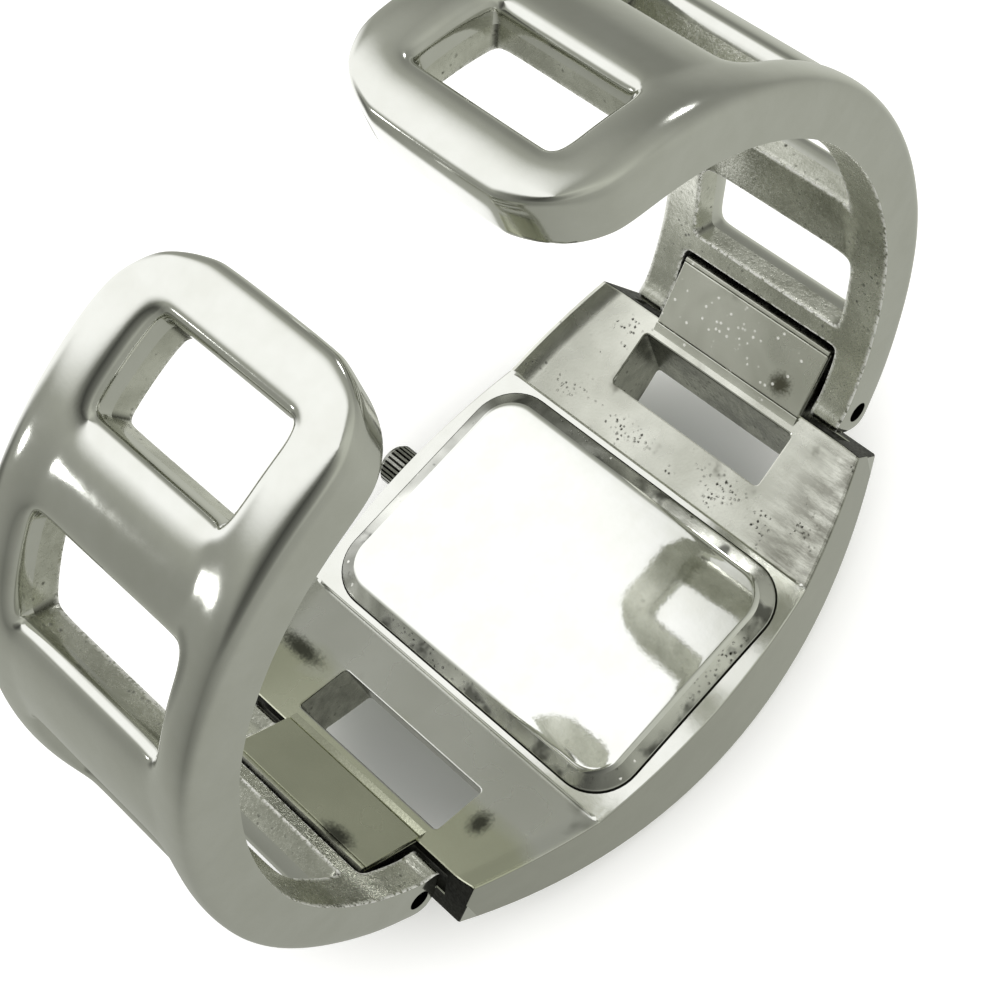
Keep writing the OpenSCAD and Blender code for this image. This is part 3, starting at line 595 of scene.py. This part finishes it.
ARM_HALF_W = 9.6
ARM_T = 3.8
LOWER_R, SIDE_R, UPPER_R = 25.2 + ARM_T, 30 + ARM_T, 21 + ARM_T
PIN_ANGLE = math.radians(-41)
SIDE_END = math.radians(25)
TIP_ANGLE = math.radians(87)
PIN_DEPTH = 2.1
EAR_R = 2.2
EAR_SWELL = 1.08     # the ear's cage is this much larger, because smoothing shrinks it
BORE_R = 0.8
TIP_CORNER = 6
SLOT_HALF = 7.1      # half the gap between the ears
TONGUE_HALF = 6.75
BAR_WALL = math.radians(-30.8)
BAR_DIP = 0.15       # a bar's middle lies this much lower than the rails
BAR_CROWN = 0.45     # and its edges this much lower again
BAR_INSIDE = 0.45    # its inner face is so far from the wrist
RAIL_DROP = 0.26     # a rail's edge at the windows lies this much lower
RIM_DROP = 0.12      # and the one at the rim this much
NEAR = 0.01          # points of the cage closer than this are on the same line

# Lines of the cage along the arm
EDGE_Y = 6.6         # a window's edge, before it gets its own half width
FOOT_Y = 5.9         # where a bar meets the slope of the rail
BAR_MID_Y = 3
RAIL_MID_Y = 8.1
# Lines of the cage across the arm that keep the ears and the tip in shape
EAR_LINE = 1.6
SLOT_LINE = 0.7
TIP_LINES = (3, 1.5)
INNER_CREASE = 0.7

# Windows: middle angle, length, half width and outer radius of the arc they are in
WINDOWS = [(-20.4, 6.4, 6.7, LOWER_R), (6, 7.9, 6.6, SIDE_R),
           (41, 7.5, 6.4, UPPER_R), (74.2, 6, 5.3, UPPER_R)]

pin_low, pin_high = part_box("hinge_pin_12")
pin = (pin_low + pin_high) / 2 / MM
to_pin = Vector((math.cos(PIN_ANGLE), 0, math.sin(PIN_ANGLE)))
lower_c = Vector((pin.x, 0, pin.z)) - (LOWER_R - PIN_DEPTH) * to_pin
side_c = lower_c - Vector((SIDE_R - LOWER_R, 0, 0))
upper_c = side_c + (SIDE_R - UPPER_R) * Vector((math.cos(SIDE_END), 0, math.sin(SIDE_END)))

# Distances along the outer face: 0 at the first joint of the arcs
side_s = SIDE_END * SIDE_R
pin_s = PIN_ANGLE * LOWER_R
slot_s = BAR_WALL * LOWER_R
nose = ARM_T / 2
tip_s = side_s + (TIP_ANGLE - SIDE_END + nose / (UPPER_R - nose)) * UPPER_R


def along(angle_deg):
    """Distance along the outer face to an angle."""
    angle = math.radians(angle_deg)
    if angle <= 0:
        return angle * LOWER_R
    if angle <= SIDE_END:
        return angle * SIDE_R
    return side_s + (angle - SIDE_END) * UPPER_R


# Each window's start, end and half width, and each bar's start and end between them
spans = []
for mid_deg, length, half, outer in WINDOWS:
    reach = math.asin(length / 2 / (outer - nose)) * outer
    spans.append((along(mid_deg) - reach, along(mid_deg) + reach, half))
bars = list(zip([slot_s] + [end for start, end, half in spans],
                [start for start, end, half in spans]))
half_widths = [(slot_s, SLOT_HALF)]
for start, end, half in spans:
    half_widths += [(start, half), (end, half)]
window_end = spans[-1][1]


def bar_share(s):
    """-1 to 1 across the bar at s, or None where s is in a window or past them."""
    for start, end in bars:
        if start - NEAR <= s <= end + NEAR:
            return 2 * (s - start) / (end - start) - 1
    return None


def crowned(s, y, up):
    """How high a point of the cage lies, with its bars and rails crowned."""
    share = bar_share(s)
    on_outer = up > -NEAR
    if share is not None and y < FOOT_Y + NEAR:
        if on_outer:
            up -= BAR_DIP + BAR_CROWN * share * share
        elif up < -ARM_T + NEAR and s > bars[1][0] - NEAR:
            up += BAR_INSIDE
    at_window = (abs(y - EDGE_Y) < NEAR and s < window_end + NEAR
                 or abs(s - window_end) < NEAR and y < EDGE_Y)
    at_rim = y > ARM_HALF_W - NEAR or s > tip_s - NEAR
    if on_outer and s > slot_s - NEAR:
        up -= RAIL_DROP if at_window else RIM_DROP if at_rim else 0
    return up


def shaped(co):
    """Moves a point of the flat cage to the plate's own widths, corners and bar profile."""
    s, y, up = co
    side = math.copysign(1, y)
    y = abs(y)
    up = crowned(s, y, up)
    half = between(half_widths, s)
    if y <= EDGE_Y:
        y *= half / EDGE_Y
    else:
        y = half + (y - EDGE_Y) / (ARM_HALF_W - EDGE_Y) * (ARM_HALF_W - half)
    # Round corners of the tip, from a square to a quarter circle
    u = (s - tip_s + TIP_CORNER) / TIP_CORNER
    v = (y - ARM_HALF_W + TIP_CORNER) / TIP_CORNER
    if u > 0 and v > 0:
        s = tip_s - TIP_CORNER + TIP_CORNER * u * math.sqrt(1 - v * v / 2)
        y = ARM_HALF_W - TIP_CORNER + TIP_CORNER * v * math.sqrt(1 - u * u / 2)
    # Round ear about the pin
    u = (pin_s - s) / EAR_R
    v = (-up - nose) / nose
    if u > 0:
        ear = EAR_R * EAR_SWELL
        s = pin_s - ear * u * math.sqrt(max(0, 1 - v * v / 2))
        up = -PIN_DEPTH - ear * v * math.sqrt(1 - u * u / 2)
    return s, side * y, up


def bent(co):
    """Wraps a point of the flat plate round the arm's arcs."""
    s, y, up = co
    if s <= 0:
        centre, outer, angle = lower_c, LOWER_R, s / LOWER_R
    elif s <= side_s:
        centre, outer, angle = side_c, SIDE_R, s / SIDE_R
    else:
        centre, outer, angle = upper_c, UPPER_R, SIDE_END + (s - side_s) / UPPER_R
    r = outer + up
    return Vector((centre.x + r * math.cos(angle), y, centre.z + r * math.sin(angle)))


def cage_lines():
    """Places of the cage's lines across the arm, from the ears to the tip."""
    lines = [pin_s - EAR_R / 2, pin_s, pin_s + EAR_LINE, (pin_s + slot_s) / 2 + SLOT_LINE,
             slot_s, sum(bars[0]) / 2]
    for start, end, half in spans:
        lines += [start + share * (end - start) for share in (0, 1 / 3, 2 / 3, 1)]
    for start, end in bars[1:]:
        lines += [start + share * (end - start) for share in (0.25, 0.5, 0.75)]
    return sorted(lines + [tip_s - inset for inset in TIP_LINES])


def arm_cage():
    """The arm's cage: a flat plate with its windows, wrapped round the arcs."""
    start_s = pin_s - EAR_R
    bm = flat_sheet((tip_s - start_s) / 2, ARM_HALF_W, (tip_s + start_s) / 2)
    cut_lines(bm, 0, cage_lines())
    cut_lines(bm, 1, [side * y for y in (EDGE_Y, FOOT_Y, BAR_MID_Y, RAIL_MID_Y)
                      for side in (-1, 1)] + [0])
    open_faces = []
    for face in bm.faces:
        mid = face.calc_center_median()
        in_window = any(start < mid.x < end for start, end, half in spans)
        if abs(mid.y) < EDGE_Y and (in_window or mid.x < slot_s):
            open_faces.append(face)
    bmesh.ops.delete(bm, geom=open_faces, context="FACES")
    grown_down(bm, ARM_T)
    cut_lines(bm, 2, [-nose])
    bmesh.ops.recalc_face_normals(bm, faces=bm.faces)
    # The edges of the inner face stay crisper than the outer ones
    crease = bm.edges.layers.float.new("crease_edge")
    bm.normal_update()
    for edge in bm.edges:
        inner = all(v.co.z < -ARM_T + NEAR for v in edge.verts)
        wall = any(abs(face.normal.z) < 0.5 for face in edge.link_faces)
        if inner and wall:
            edge[crease] = INNER_CREASE
    for face in bm.faces:
        mid = face.calc_center_median()
        inside = mid.z < -ARM_T + 0.1 or (mid.z < -nose and abs(mid.y) < ARM_HALF_W - 0.1
                                          and mid.x < tip_s - 0.1)
        face.material_index = 1 if inside else 0
    for v in bm.verts:
        v.co = bent(shaped(v.co))
    return bm


# The gap between an arm and its tongue is painted black, grime and shade, this far from the pin
GAP_REACH = 6.3
# Angles from which an edge is marked and at which it is fully marked
RUBBED_HIGHLIGHT_DEG = (7, 24)
GRIME_AND_SHADE_DEG = (5, 20)


def mark_edges(mesh, hole):
    """Writes how rubbed each convex edge is, for wear and a painted highlight, and how dark each
    inner corner is, for grime and painted shade; not at a hole.
    """
    bm = bmesh.new()
    bm.from_mesh(mesh)
    bm.normal_update()
    turns = [[0] if math.hypot(v.co.x / MM - hole[0], v.co.z / MM - hole[1]) < BORE_R + 0.1
             else [e.calc_face_angle_signed(0) for e in v.link_edges] for v in bm.verts]
    bm.free()
    for name, sign, (low, high) in (("rubbed_highlight", 1, RUBBED_HIGHLIGHT_DEG), ("grime_and_shade", -1, GRIME_AND_SHADE_DEG)):
        layer = mesh.attributes.new(name, "FLOAT", "POINT")
        for i, row in enumerate(turns):
            most = math.degrees(max(sign * turn for turn in row))
            layer.data[i].value = min(1, max(0, (most - low) / (high - low)))


def make_arm(hour, side):
    """One arm: its cage turned to its side, smoothed, bored for the pin and dressed."""
    bm = arm_cage()
    if side < 0:
        bmesh.ops.rotate(bm, matrix=Matrix.Rotation(math.pi, 3, "Z"), verts=bm.verts)
    piece = finish_piece(f"arm_{hour}_casting", bm, f"arm_{hour}",
                         [chrome_plate, cast_chrome, grime_and_painted_shade], 60)
    rounding = piece.modifiers.new("rounding", "SUBSURF")
    rounding.levels = rounding.render_levels = 3
    cut_with(piece, rod_along_y(BORE_R, side * pin.x, pin.z, 1.5 * ARM_HALF_W))
    shade(piece.data, 50)
    axis = Vector((side * pin.x, 0, pin.z))

    def arm_skin(face):
        """Grime and painted shade in the bore and the hinge's gap, and the cage's own finish
        elsewhere.
        """
        to_axis = axis - face.center / MM
        off_y, to_axis.y = abs(to_axis.y), 0
        in_bore = to_axis.length < BORE_R + 0.05 and abs(face.normal.y) < 0.5
        beside = (off_y > TONGUE_HALF - 0.3 and face.normal.y * face.center.y < 0
                  and abs(face.normal.y) > 0.6)
        before = off_y < TONGUE_HALF and face.normal.dot(to_axis.normalized()) > 0.5
        if in_bore or to_axis.length < GAP_REACH and (beside or before):
            return grime_and_painted_shade
        return piece.data.materials[face.material_index]

    dress_faces(piece, arm_skin)
    mark_edges(piece.data, (side * pin.x, pin.z))


make_arm(12, 1)
make_arm(6, -1)


# Case: bowed sides, curved front, flat box and two sunk, sloping lug plates

CASE_HALF_W = 15.7
SIDE_BOW_R = 61
FRONT_BOW_R = 40
FRONT_Z = 0.3
BOX_HALF_X = 10.85
BOX_TOP = 8.4
LUG_RISE = math.tan(math.radians(19.5))
CASE_REACH = 20
CASE_END_X = 22.3
CASE_END_Z = 7.32
RIM_H = 0.42
RIM_LEAN = 0.2       # the rim's end leans out this much
STEP_W = 0.14
# Hollow curve up to the rim: distance in from the side, and depth below the rim
RIM_CURVE = [(0.3, 0), (0.65, 0.13), (1, 0.25), (1.4, 0.36), (1.8, RIM_H)]
LUG_WINDOW = (14.6, 18.8)
LUG_WINDOW_HALF = 7.1
TONGUE_START = 19.3
TONGUE_ROUND = 0.06
FIT = 0.02           # a tongue's piece stands this far inside its room in the case
HINGE_CLEAR = 0.3    # room round an arm's ears
PAST_END = 25        # beyond the case along X
# Lines across the case that let its sides and front follow their bows
BOW_LINES = [1.4, 2.8, 4.2, 5.6, 7, 8.4, 9.6, 12.2, 13.4, 15.7, 16.7, 17.8, 21.2]
CORNER_ROUND, STEP_ROUND, EDGE_ROUND = 0.3, 0.05, 0.12
# Hollows in the case: half x, half y, corner, and the heights they go from and to
BACK_SEAT = (8.7, 12.5, 2.7, 3, BOX_TOP + 1)
MOVEMENT_ROOM = (7.7, 11.2, 1.8, 1, 3.5)
CRYSTAL_SEAT = (8.7, 12.2, 2.8, -2, 1.5)


def case_form():
    """The case without its tongues and hollows: a flat cage moved to its own heights."""
    bm = flat_sheet(CASE_END_X, CASE_HALF_W)
    key_x = [BOX_HALF_X, BOX_HALF_X + STEP_W, *LUG_WINDOW, CASE_REACH]
    cut_lines(bm, 0, sorted(side * x for x in key_x + BOW_LINES for side in (-1, 1)) + [0])
    cut_lines(bm, 1, [side * (CASE_HALF_W - inset) for inset, drop in RIM_CURVE
                      for side in (-1, 1)] + [-LUG_WINDOW_HALF, LUG_WINDOW_HALF])
    hole = [f for f in bm.faces
            if LUG_WINDOW[0] < abs(f.calc_center_median().x) < LUG_WINDOW[1]
            and abs(f.calc_center_median().y) < LUG_WINDOW_HALF]
    bmesh.ops.delete(bm, geom=hole, context="FACES")
    grown_down(bm, 1)
    bmesh.ops.recalc_face_normals(bm, faces=bm.faces)
    ends = BOX_TOP + (CASE_REACH - BOX_HALF_X) * LUG_RISE
    fall = (CASE_END_Z - ends) / (CASE_END_X - CASE_REACH)
    for v in bm.verts:
        x, y = abs(v.co.x), abs(v.co.y)
        across = math.copysign(1, v.co.x)
        side = math.copysign(1, v.co.y)
        if v.co.z > -0.5:
            drop = between(RIM_CURVE, CASE_HALF_W - y) if x > BOX_HALF_X + STEP_W / 2 else 0
            if x > CASE_REACH - NEAR:
                x += RIM_LEAN * drop / RIM_H * max(0, 1 - (x - CASE_REACH))
            z = min(BOX_TOP + max(0, x - BOX_HALF_X) * LUG_RISE - drop,
                    ends + fall * (x - CASE_REACH))
        else:
            z = FRONT_Z + FRONT_BOW_R - math.sqrt(FRONT_BOW_R ** 2 - x * x)
        if y > LUG_WINDOW_HALF + NEAR:
            y += math.sqrt(SIDE_BOW_R ** 2 - x * x) - SIDE_BOW_R
        v.co = Vector((across * x, side * y, z))
    bm.normal_update()
    # The windows' upright corners, the step down from the box, and then what is still sharp
    corners = [e for e in bm.edges if abs((e.verts[0].co - e.verts[1].co).z) > 3
               and abs(e.verts[0].co.y) < LUG_WINDOW_HALF + 0.1]
    bevel(bm, corners, CORNER_ROUND, 3)
    slopes = [f for f in bm.faces if 0.15 < f.normal.z < 0.6
              and abs(f.calc_center_median().x) < BOX_HALF_X + STEP_W]
    steps = [e for e in bm.edges if e.calc_face_angle(0) > math.radians(35)
             and any(f in slopes for f in e.link_faces)]
    bevel(bm, steps, STEP_ROUND)
    bevel(bm, sharp_edges(bm, 35), EDGE_ROUND)
    return bm


def tongue_form(side):
    """One hinge tongue, cut from a copy of the CAD case, with its own edges softened."""
    bm = merged_copy("case_frame")
    inner = side * TONGUE_START
    half = TONGUE_HALF - 0.001
    planes = [((inner, 0, 0), (-side, 0, 0)), ((0, half, 0), (0, 1, 0)),
              ((0, -half, 0), (0, -1, 0))]
    for place, outward in planes:
        cut = bmesh.ops.bisect_plane(bm, geom=bm.verts[:] + bm.edges[:] + bm.faces[:],
                                     plane_co=place, plane_no=outward, clear_outer=True,
                                     dist=1e-4)
        rim = [e for e in cut["geom_cut"] if isinstance(e, bmesh.types.BMEdge)]
        bmesh.ops.holes_fill(bm, edges=rim, sides=0)
    bmesh.ops.recalc_face_normals(bm, faces=bm.faces)
    # The end that joins the case stays as it was cut
    bevel(bm, [e for e in sharp_edges(bm, SHARP_DEG, 0.1)
               if all(abs(v.co.x - inner) > 0.3 for v in e.verts)], TONGUE_ROUND)
    return bm


case = finish_piece("case_casting", case_form(), "case_frame",
                    [chrome_plate, lug_satin, lug_dark_to_hinge, dark_cast_painted_shade, side_chrome_painted_shade, grime_and_painted_shade],
                    12)


def make_tongue(hour, side):
    """Clears a hinge's room out of the case and puts the tongue's own piece in it."""
    cut_with(case, rod_along_y(EAR_R + HINGE_CLEAR, side * pin.x, pin.z,
                               ARM_HALF_W + HINGE_CLEAR))
    low_x, high_x = sorted((side * (TONGUE_START + FIT), side * PAST_END))
    cut_with(case, box_shape((low_x, FIT - TONGUE_HALF, -1),
                             (high_x, TONGUE_HALF - FIT, BOX_TOP + 5.6)))
    top_skin = HINGE_SKIN[hour]
    tab = finish_piece(f"tongue_{hour}", tongue_form(side), "case_frame",
                       [top_skin, chrome_plate, dark_cast_painted_shade], 25)
    cover_end = max(side * corner.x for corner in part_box(f"hinge_cover_{hour}")) / MM

    def tongue_skin(face):
        """Plate on the front, and dark rough casting with painted shade on the sides in the
        hinge's gap and past the cover.
        """
        if face.normal.z < -0.3:
            return chrome_plate
        if abs(face.normal.y) > 0.7 or side * face.center.x / MM > cover_end:
            return dark_cast_painted_shade
        return top_skin

    dress_faces(tab, tongue_skin)


def case_skin(face):
    """The finish of a face of the case, by its place and the way it faces."""
    mid, out = face.center / MM, face.normal
    past_box = abs(mid.x) > BOX_HALF_X + 0.1
    if past_box and out.z > 0.8 and abs(mid.x) < CASE_REACH + 0.3:
        return lug_satin if mid.x > 0 else lug_dark_to_hinge
    # Window walls get the dark casting: painted shade in the recess
    if past_box and abs(mid.y) < 11 and abs(out.z) < 0.3:
        return dark_cast_painted_shade
    # Faces toward ±Y get the darker copy of the plate: painted shade
    if abs(mid.y) > 12 and abs(out.y) > 0.7:
        return side_chrome_painted_shade
    # The ends by the hinges are painted dark: grime, and the hinges' shade
    if abs(mid.x) > CASE_REACH - 1 and abs(out.x) > 0.6 and out.z > -0.5:
        return grime_and_painted_shade
    return chrome_plate


make_tongue(6, -1)
make_tongue(12, 1)
for half_x, half_y, corner, low, high in (BACK_SEAT, MOVEMENT_ROOM, CRYSTAL_SEAT):
    cut_with(case, slab_rings([(half_x, half_y, corner, z) for z in (low, high)]))
dress_faces(case, case_skin)
shade(case.data, 16)


# Case back: hollow plug in the case, flange, sloped border and flat mirror face

BACK_RINGS = [
    # The plug's hollow and its wall
    (8, 11.8, 2.2, 8.1), (8, 11.8, 2.2, 7.6), (8.6, 12.4, 2.6, 7.6),
    (8.6, 12.4, 2.6, BOX_TOP),
    # The flange's foot, and the groove, painted dark for grime and shade
    (10.42, 14.42, 3.6, BOX_TOP), (10.42, 14.42, 3.6, 8.42), (10.3, 14.3, 3.5, 8.44),
    (10.3, 14.3, 3.5, 8.56),
    # The flange's round edge
    (10.26, 14.26, 3.46, 8.62), (10.16, 14.16, 3.36, 8.67),
    # The sloped border and its soft turn into the mirror face
    (9.3, 13.3, 2.6, 9.08), (9.17, 13.17, 2.5, 9.14), (9.02, 13.02, 2.4, 9.18),
    (8.86, 12.86, 2.3, 9.2)]
BACK_GROOVE_TOP = 8.55
BORDER_Z = (8.63, 9.1)


def back_skin(face):
    """Grime and painted shade in the groove round the flange, and specks with a painted dark
    reflection on the sloped border.
    """
    z = face.center.z / MM
    if BOX_TOP < z < BACK_GROOVE_TOP:
        return grime_and_painted_shade
    if BORDER_Z[0] < z < BORDER_Z[1]:
        return border_specks_painted_reflection
    return back_steel


back = finish_piece("case_back_pressing", slab_rings(BACK_RINGS), "case_back",
                    [back_steel, border_specks_painted_reflection, grime_and_painted_shade], 35)
dress_faces(back, back_skin)


# Crown: flat ridges with square gaps, and a plain cap at the outer end

CROWN_RIDGES = 26
# One ridge and its gap: place as a share of both, and whether it is down in the gap
RIDGE_SHAPE = [(-0.5, 1), (-0.36, 1), (-0.27, 0), (0.27, 0), (0.36, 1)]

crown_low, crown_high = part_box("crown")
crown_r = (crown_high.x - crown_low.x) / 2 / MM
crown_z = (crown_high.z + crown_low.z) / 2 / MM
crown_in, crown_out = crown_low.y / MM, crown_high.y / MM


def crown_ring(y, radius, groove):
    """One outline of the crown across its axis; groove is the depth between the ridges."""
    points = []
    for i in range(CROWN_RIDGES):
        for share, down in RIDGE_SHAPE:
            angle = math.tau * (i + share) / CROWN_RIDGES
            r = radius - groove * down
            points.append((r * math.sin(angle), y, crown_z + r * math.cos(angle)))
    return points


def crown_skin(face):
    """Grime and painted shade between the ridges, and nickel elsewhere."""
    mid = face.center / MM
    off_axis = math.hypot(mid.x, mid.z - crown_z)
    in_gap = off_axis < crown_r - 0.08 and crown_in < mid.y < crown_out - 0.4
    return grime_and_painted_shade if in_gap else crown_nickel


# Outlines from the case out: y, radius and groove
CROWN_RINGS = [(crown_in, crown_r - 0.1, 0.1), (crown_in + 0.1, crown_r, 0.2),
               (crown_out - 0.45, crown_r, 0.2), (crown_out - 0.35, crown_r - 0.1, 0.1),
               (crown_out - 0.33, crown_r - 0.2, 0), (crown_out - 0.14, crown_r - 0.22, 0),
               (crown_out - 0.05, crown_r - 0.3, 0), (crown_out, crown_r - 0.45, 0)]
crown = finish_piece("crown_ridged", lofted([crown_ring(*row) for row in CROWN_RINGS]),
                     "crown", [crown_nickel, grime_and_painted_shade], 25)
dress_faces(crown, crown_skin)


# Hinge covers and crystal with softened edges, and the CAD's own pieces with finishes

for hour, skin in HINGE_SKIN.items():
    dressed(f"hinge_cover_{hour}", "cast_chrome", 0.08, skin)
dressed("crystal", "crystal_glass", 0.15)

for row in frame["record"]["materials"]:
    for name in row.get("nodes", []):
        node = frame["nodes"][name]
        node.data.materials.clear()
        node.data.materials.append(SLOT_MATERIAL[row["slot"]])
# The pins' ends, at the bottom of their bores, are painted dark: dirt and shade
for hour in HINGE_SKIN:
    frame["nodes"][f"hinge_pin_{hour}"].data.materials[0] = grime_and_painted_shade


# Stage: table, background, tent and lamps

# The watch's shade painted on the table: middle and half sizes of its ellipse, in millimetres
PAINTED_TABLE_SHADE = (0, 3, 25, 16)
TABLE_HALF = 4       # in metres, so that its edge is out of every view
BACKGROUND_LEVEL = 0.95


def stage_piece(name, bm, material):
    """Adds a mesh that isn't part of the watch."""
    mesh = bpy.data.meshes.new(name)
    bm.to_mesh(mesh)
    bm.free()
    mesh.materials.append(material)
    piece = bpy.data.objects.new(name, mesh)
    scene.collection.objects.link(piece)
    return piece


def bare_material(name):
    """A material without nodes, and what adds its nodes."""
    material = bpy.data.materials.new(name)
    material.use_nodes = True
    material.node_tree.nodes.clear()
    return material, partial(add_node, material.node_tree)


def light_path_share(add):
    """1 for camera, glossy and transmission rays, and 0 for the rest."""
    ray = add("LightPath", take=None)
    share = add("Math", {0: ray["Is Camera Ray"], 1: ray["Is Glossy Ray"]},
                operation="MAXIMUM")
    return add("Math", {0: share, 1: ray["Is Transmission Ray"]}, operation="MAXIMUM")


# White table: a matt sheet that the light leaves white, with the watch's shade painted in as a
# darker colour and less glow within the ellipse
table_white, add = bare_material("white_table")
out_by = ellipse_distance(add, object_point(add), *PAINTED_TABLE_SHADE)
sheet = add("MapRange", from_to(out_by, 0.7, 1.0), **EASED)
sheet = add("ValToRGB", {"Fac": sheet}, stops=[(0, "#CDCFCB"), (1, "#F4F4F1")])
sheet = add("BsdfDiffuse", {"Color": sheet})
lift = add("MapRange", from_to(out_by, 0.8, 1.5, 0.02, 0.45), **EASED)
lift = add("Math", {0: light_path_share(add), 1: lift}, operation="MULTIPLY")
glow = add("Emission", {"Strength": lift})
add("OutputMaterial", {"Surface": add("AddShader", {0: sheet, 1: glow})}, take=None)

floor_bm = bmesh.new()
bmesh.ops.create_grid(floor_bm, x_segments=1, y_segments=1, size=TABLE_HALF)
bmesh.ops.translate(floor_bm, vec=(0, 0, -0.1 * MM), verts=floor_bm.verts)
stage_piece("floor", floor_bm, table_white)

# Background: a little under white for the light, and white for camera, metal and glass
world = bpy.data.worlds.new("studio")
scene.world = world
world.use_nodes = True
add = partial(add_node, world.node_tree)
level = add("MapRange", from_to(light_path_share(add), 0, 1, BACKGROUND_LEVEL, 1))
background = world.node_tree.nodes["Background"]
background.inputs["Color"].default_value = (1, 1, 1, 1)
connect(background, {"Strength": level})

# Grey tent round the watch, with a bright soft window on its +Y side, for the metal alone
TENT_R = 0.9
TENT_EYE = 0.03      # height, in metres, of the place that its directions are taken from
# Grey levels of the walls round the compass, 0 at +X and a quarter at +Y: dusky at -X,
# lighter towards the room at -Y
WALLS = [(0.0, 0.33), (0.08, 0.27), (0.17, 0.42), (0.4, 0.36),
         (0.5, 0.21), (0.64, 0.35), (0.86, 0.52), (1.0, 0.33)]
# Soft patches: direction, full and faded angle, and how much lighter they are
PATCHES = [((-0.47, -0.17, 0.87), 8, 40, -0.28), ((-0.4, 0.7, -0.1), 4, 24, -0.2),
           ((0.87, 0.4, -0.5), 6, 40, 0.2)]
OVERHEAD_LIFT = 0.14             # how much lighter the tent is overhead
LOW_LEVEL, LOW_SHARE = 0.5, 0.6  # the grey that its foot turns to, and how far
WINDOW_BEARING = 0.262           # a little past +Y
WINDOW_HALF = (0.034, 0.078)     # full and faded half width, as shares of the compass
WINDOW_WIDEN = 2.3               # how much wider the window is overhead
WINDOW_STRENGTH = 1.32

tent_grey, add = bare_material("grey_tent")
way = add("VectorMath", {0: add("TexCoord", take="Object"), 1: (0, 0, -TENT_EYE)},
          operation="ADD")
way = add("VectorMath", {0: way}, operation="NORMALIZE")
way_xyz = add("SeparateXYZ", {0: way}, None)
height = way_xyz["Z"]
bearing = add("Math", {0: way_xyz["Y"], 1: way_xyz["X"]}, operation="ARCTAN2")
bearing = add("Math", {0: bearing, 1: math.tau}, operation="DIVIDE")
bearing = add("Math", {0: bearing}, operation="FRACT")

tone = add("ValToRGB", {"Fac": bearing}, stops=WALLS)
overhead = add("MapRange", from_to(height, 0.4, 0.75), **EASED)
tone = add("Math", {0: overhead, 1: OVERHEAD_LIFT, 2: tone}, operation="MULTIPLY_ADD")
low_down = add("MapRange", from_to(height, -0.35, -0.02, LOW_SHARE, 0), **EASED)
tone = add("Mix", {"Factor": low_down, "A": tone, "B": LOW_LEVEL}, "Result",
           data_type="FLOAT")
for towards, full_deg, faded_deg, lighter in PATCHES:
    near = add("VectorMath", {0: way, 1: Vector(towards).normalized()}, "Value",
               operation="DOT_PRODUCT")
    near = add("MapRange", from_to(near, math.cos(math.radians(faded_deg)),
                                   math.cos(math.radians(full_deg))), **EASED)
    tone = add("Math", {0: near, 1: lighter, 2: tone}, operation="MULTIPLY_ADD")

# Window: a bright opening to +Y that widens overhead
off_window = add("Math", {0: bearing, 1: -WINDOW_BEARING})
off_window = add("Math", {0: off_window}, operation="ABSOLUTE")
widen = add("MapRange", from_to(height, 0.4, 0.85, 1, WINDOW_WIDEN), **EASED)
off_window = add("Math", {0: off_window, 1: widen}, operation="DIVIDE")
window = add("MapRange", from_to(off_window, *WINDOW_HALF, 1, 0), **EASED)
grey = add("Emission", {"Color": linear("#FDFFF3"), "Strength": tone})
white = add("Emission", {"Strength": WINDOW_STRENGTH})
tent_light = add("MixShader", {0: window, 1: grey, 2: white})
add("OutputMaterial", {"Surface": tent_light}, take=None)

tent_bm = bmesh.new()
bmesh.ops.create_uvsphere(tent_bm, u_segments=64, v_segments=32, radius=TENT_R)
for v in tent_bm.verts:
    v.co.z = max(v.co.z, -0.05 * MM)
tent = stage_piece("tent", tent_bm, tent_grey)
tent.visible_camera = tent.visible_diffuse = tent.visible_transmission = False
tent.visible_shadow = tent.visible_volume_scatter = False


def lamp(name, azimuth, elevation, spread_deg, strength, distance=0.8):
    """A small round lamp in a direction in degrees, as wide as spread_deg from the watch."""
    azimuth, elevation = math.radians(azimuth), math.radians(elevation)
    out = Vector((math.cos(elevation) * math.cos(azimuth),
                  math.cos(elevation) * math.sin(azimuth), math.sin(elevation)))
    radius = distance * math.tan(math.radians(spread_deg / 2))
    data = bpy.data.lights.new(name, "AREA")
    data.shape = "DISK"
    data.size = 2 * radius
    data.energy = strength * math.pi * math.pi * radius * radius
    bulb = bpy.data.objects.new(name, data)
    scene.collection.objects.link(bulb)
    bulb.matrix_world = (Matrix.Translation(Vector((0, 0, TENT_EYE)) + out * distance)
                         @ out.to_track_quat("Z", "Y").to_matrix().to_4x4())


lamp("lamp_left", 138, 22, 5, 10)
lamp("lamp_right", 20, 25, 5, 12)
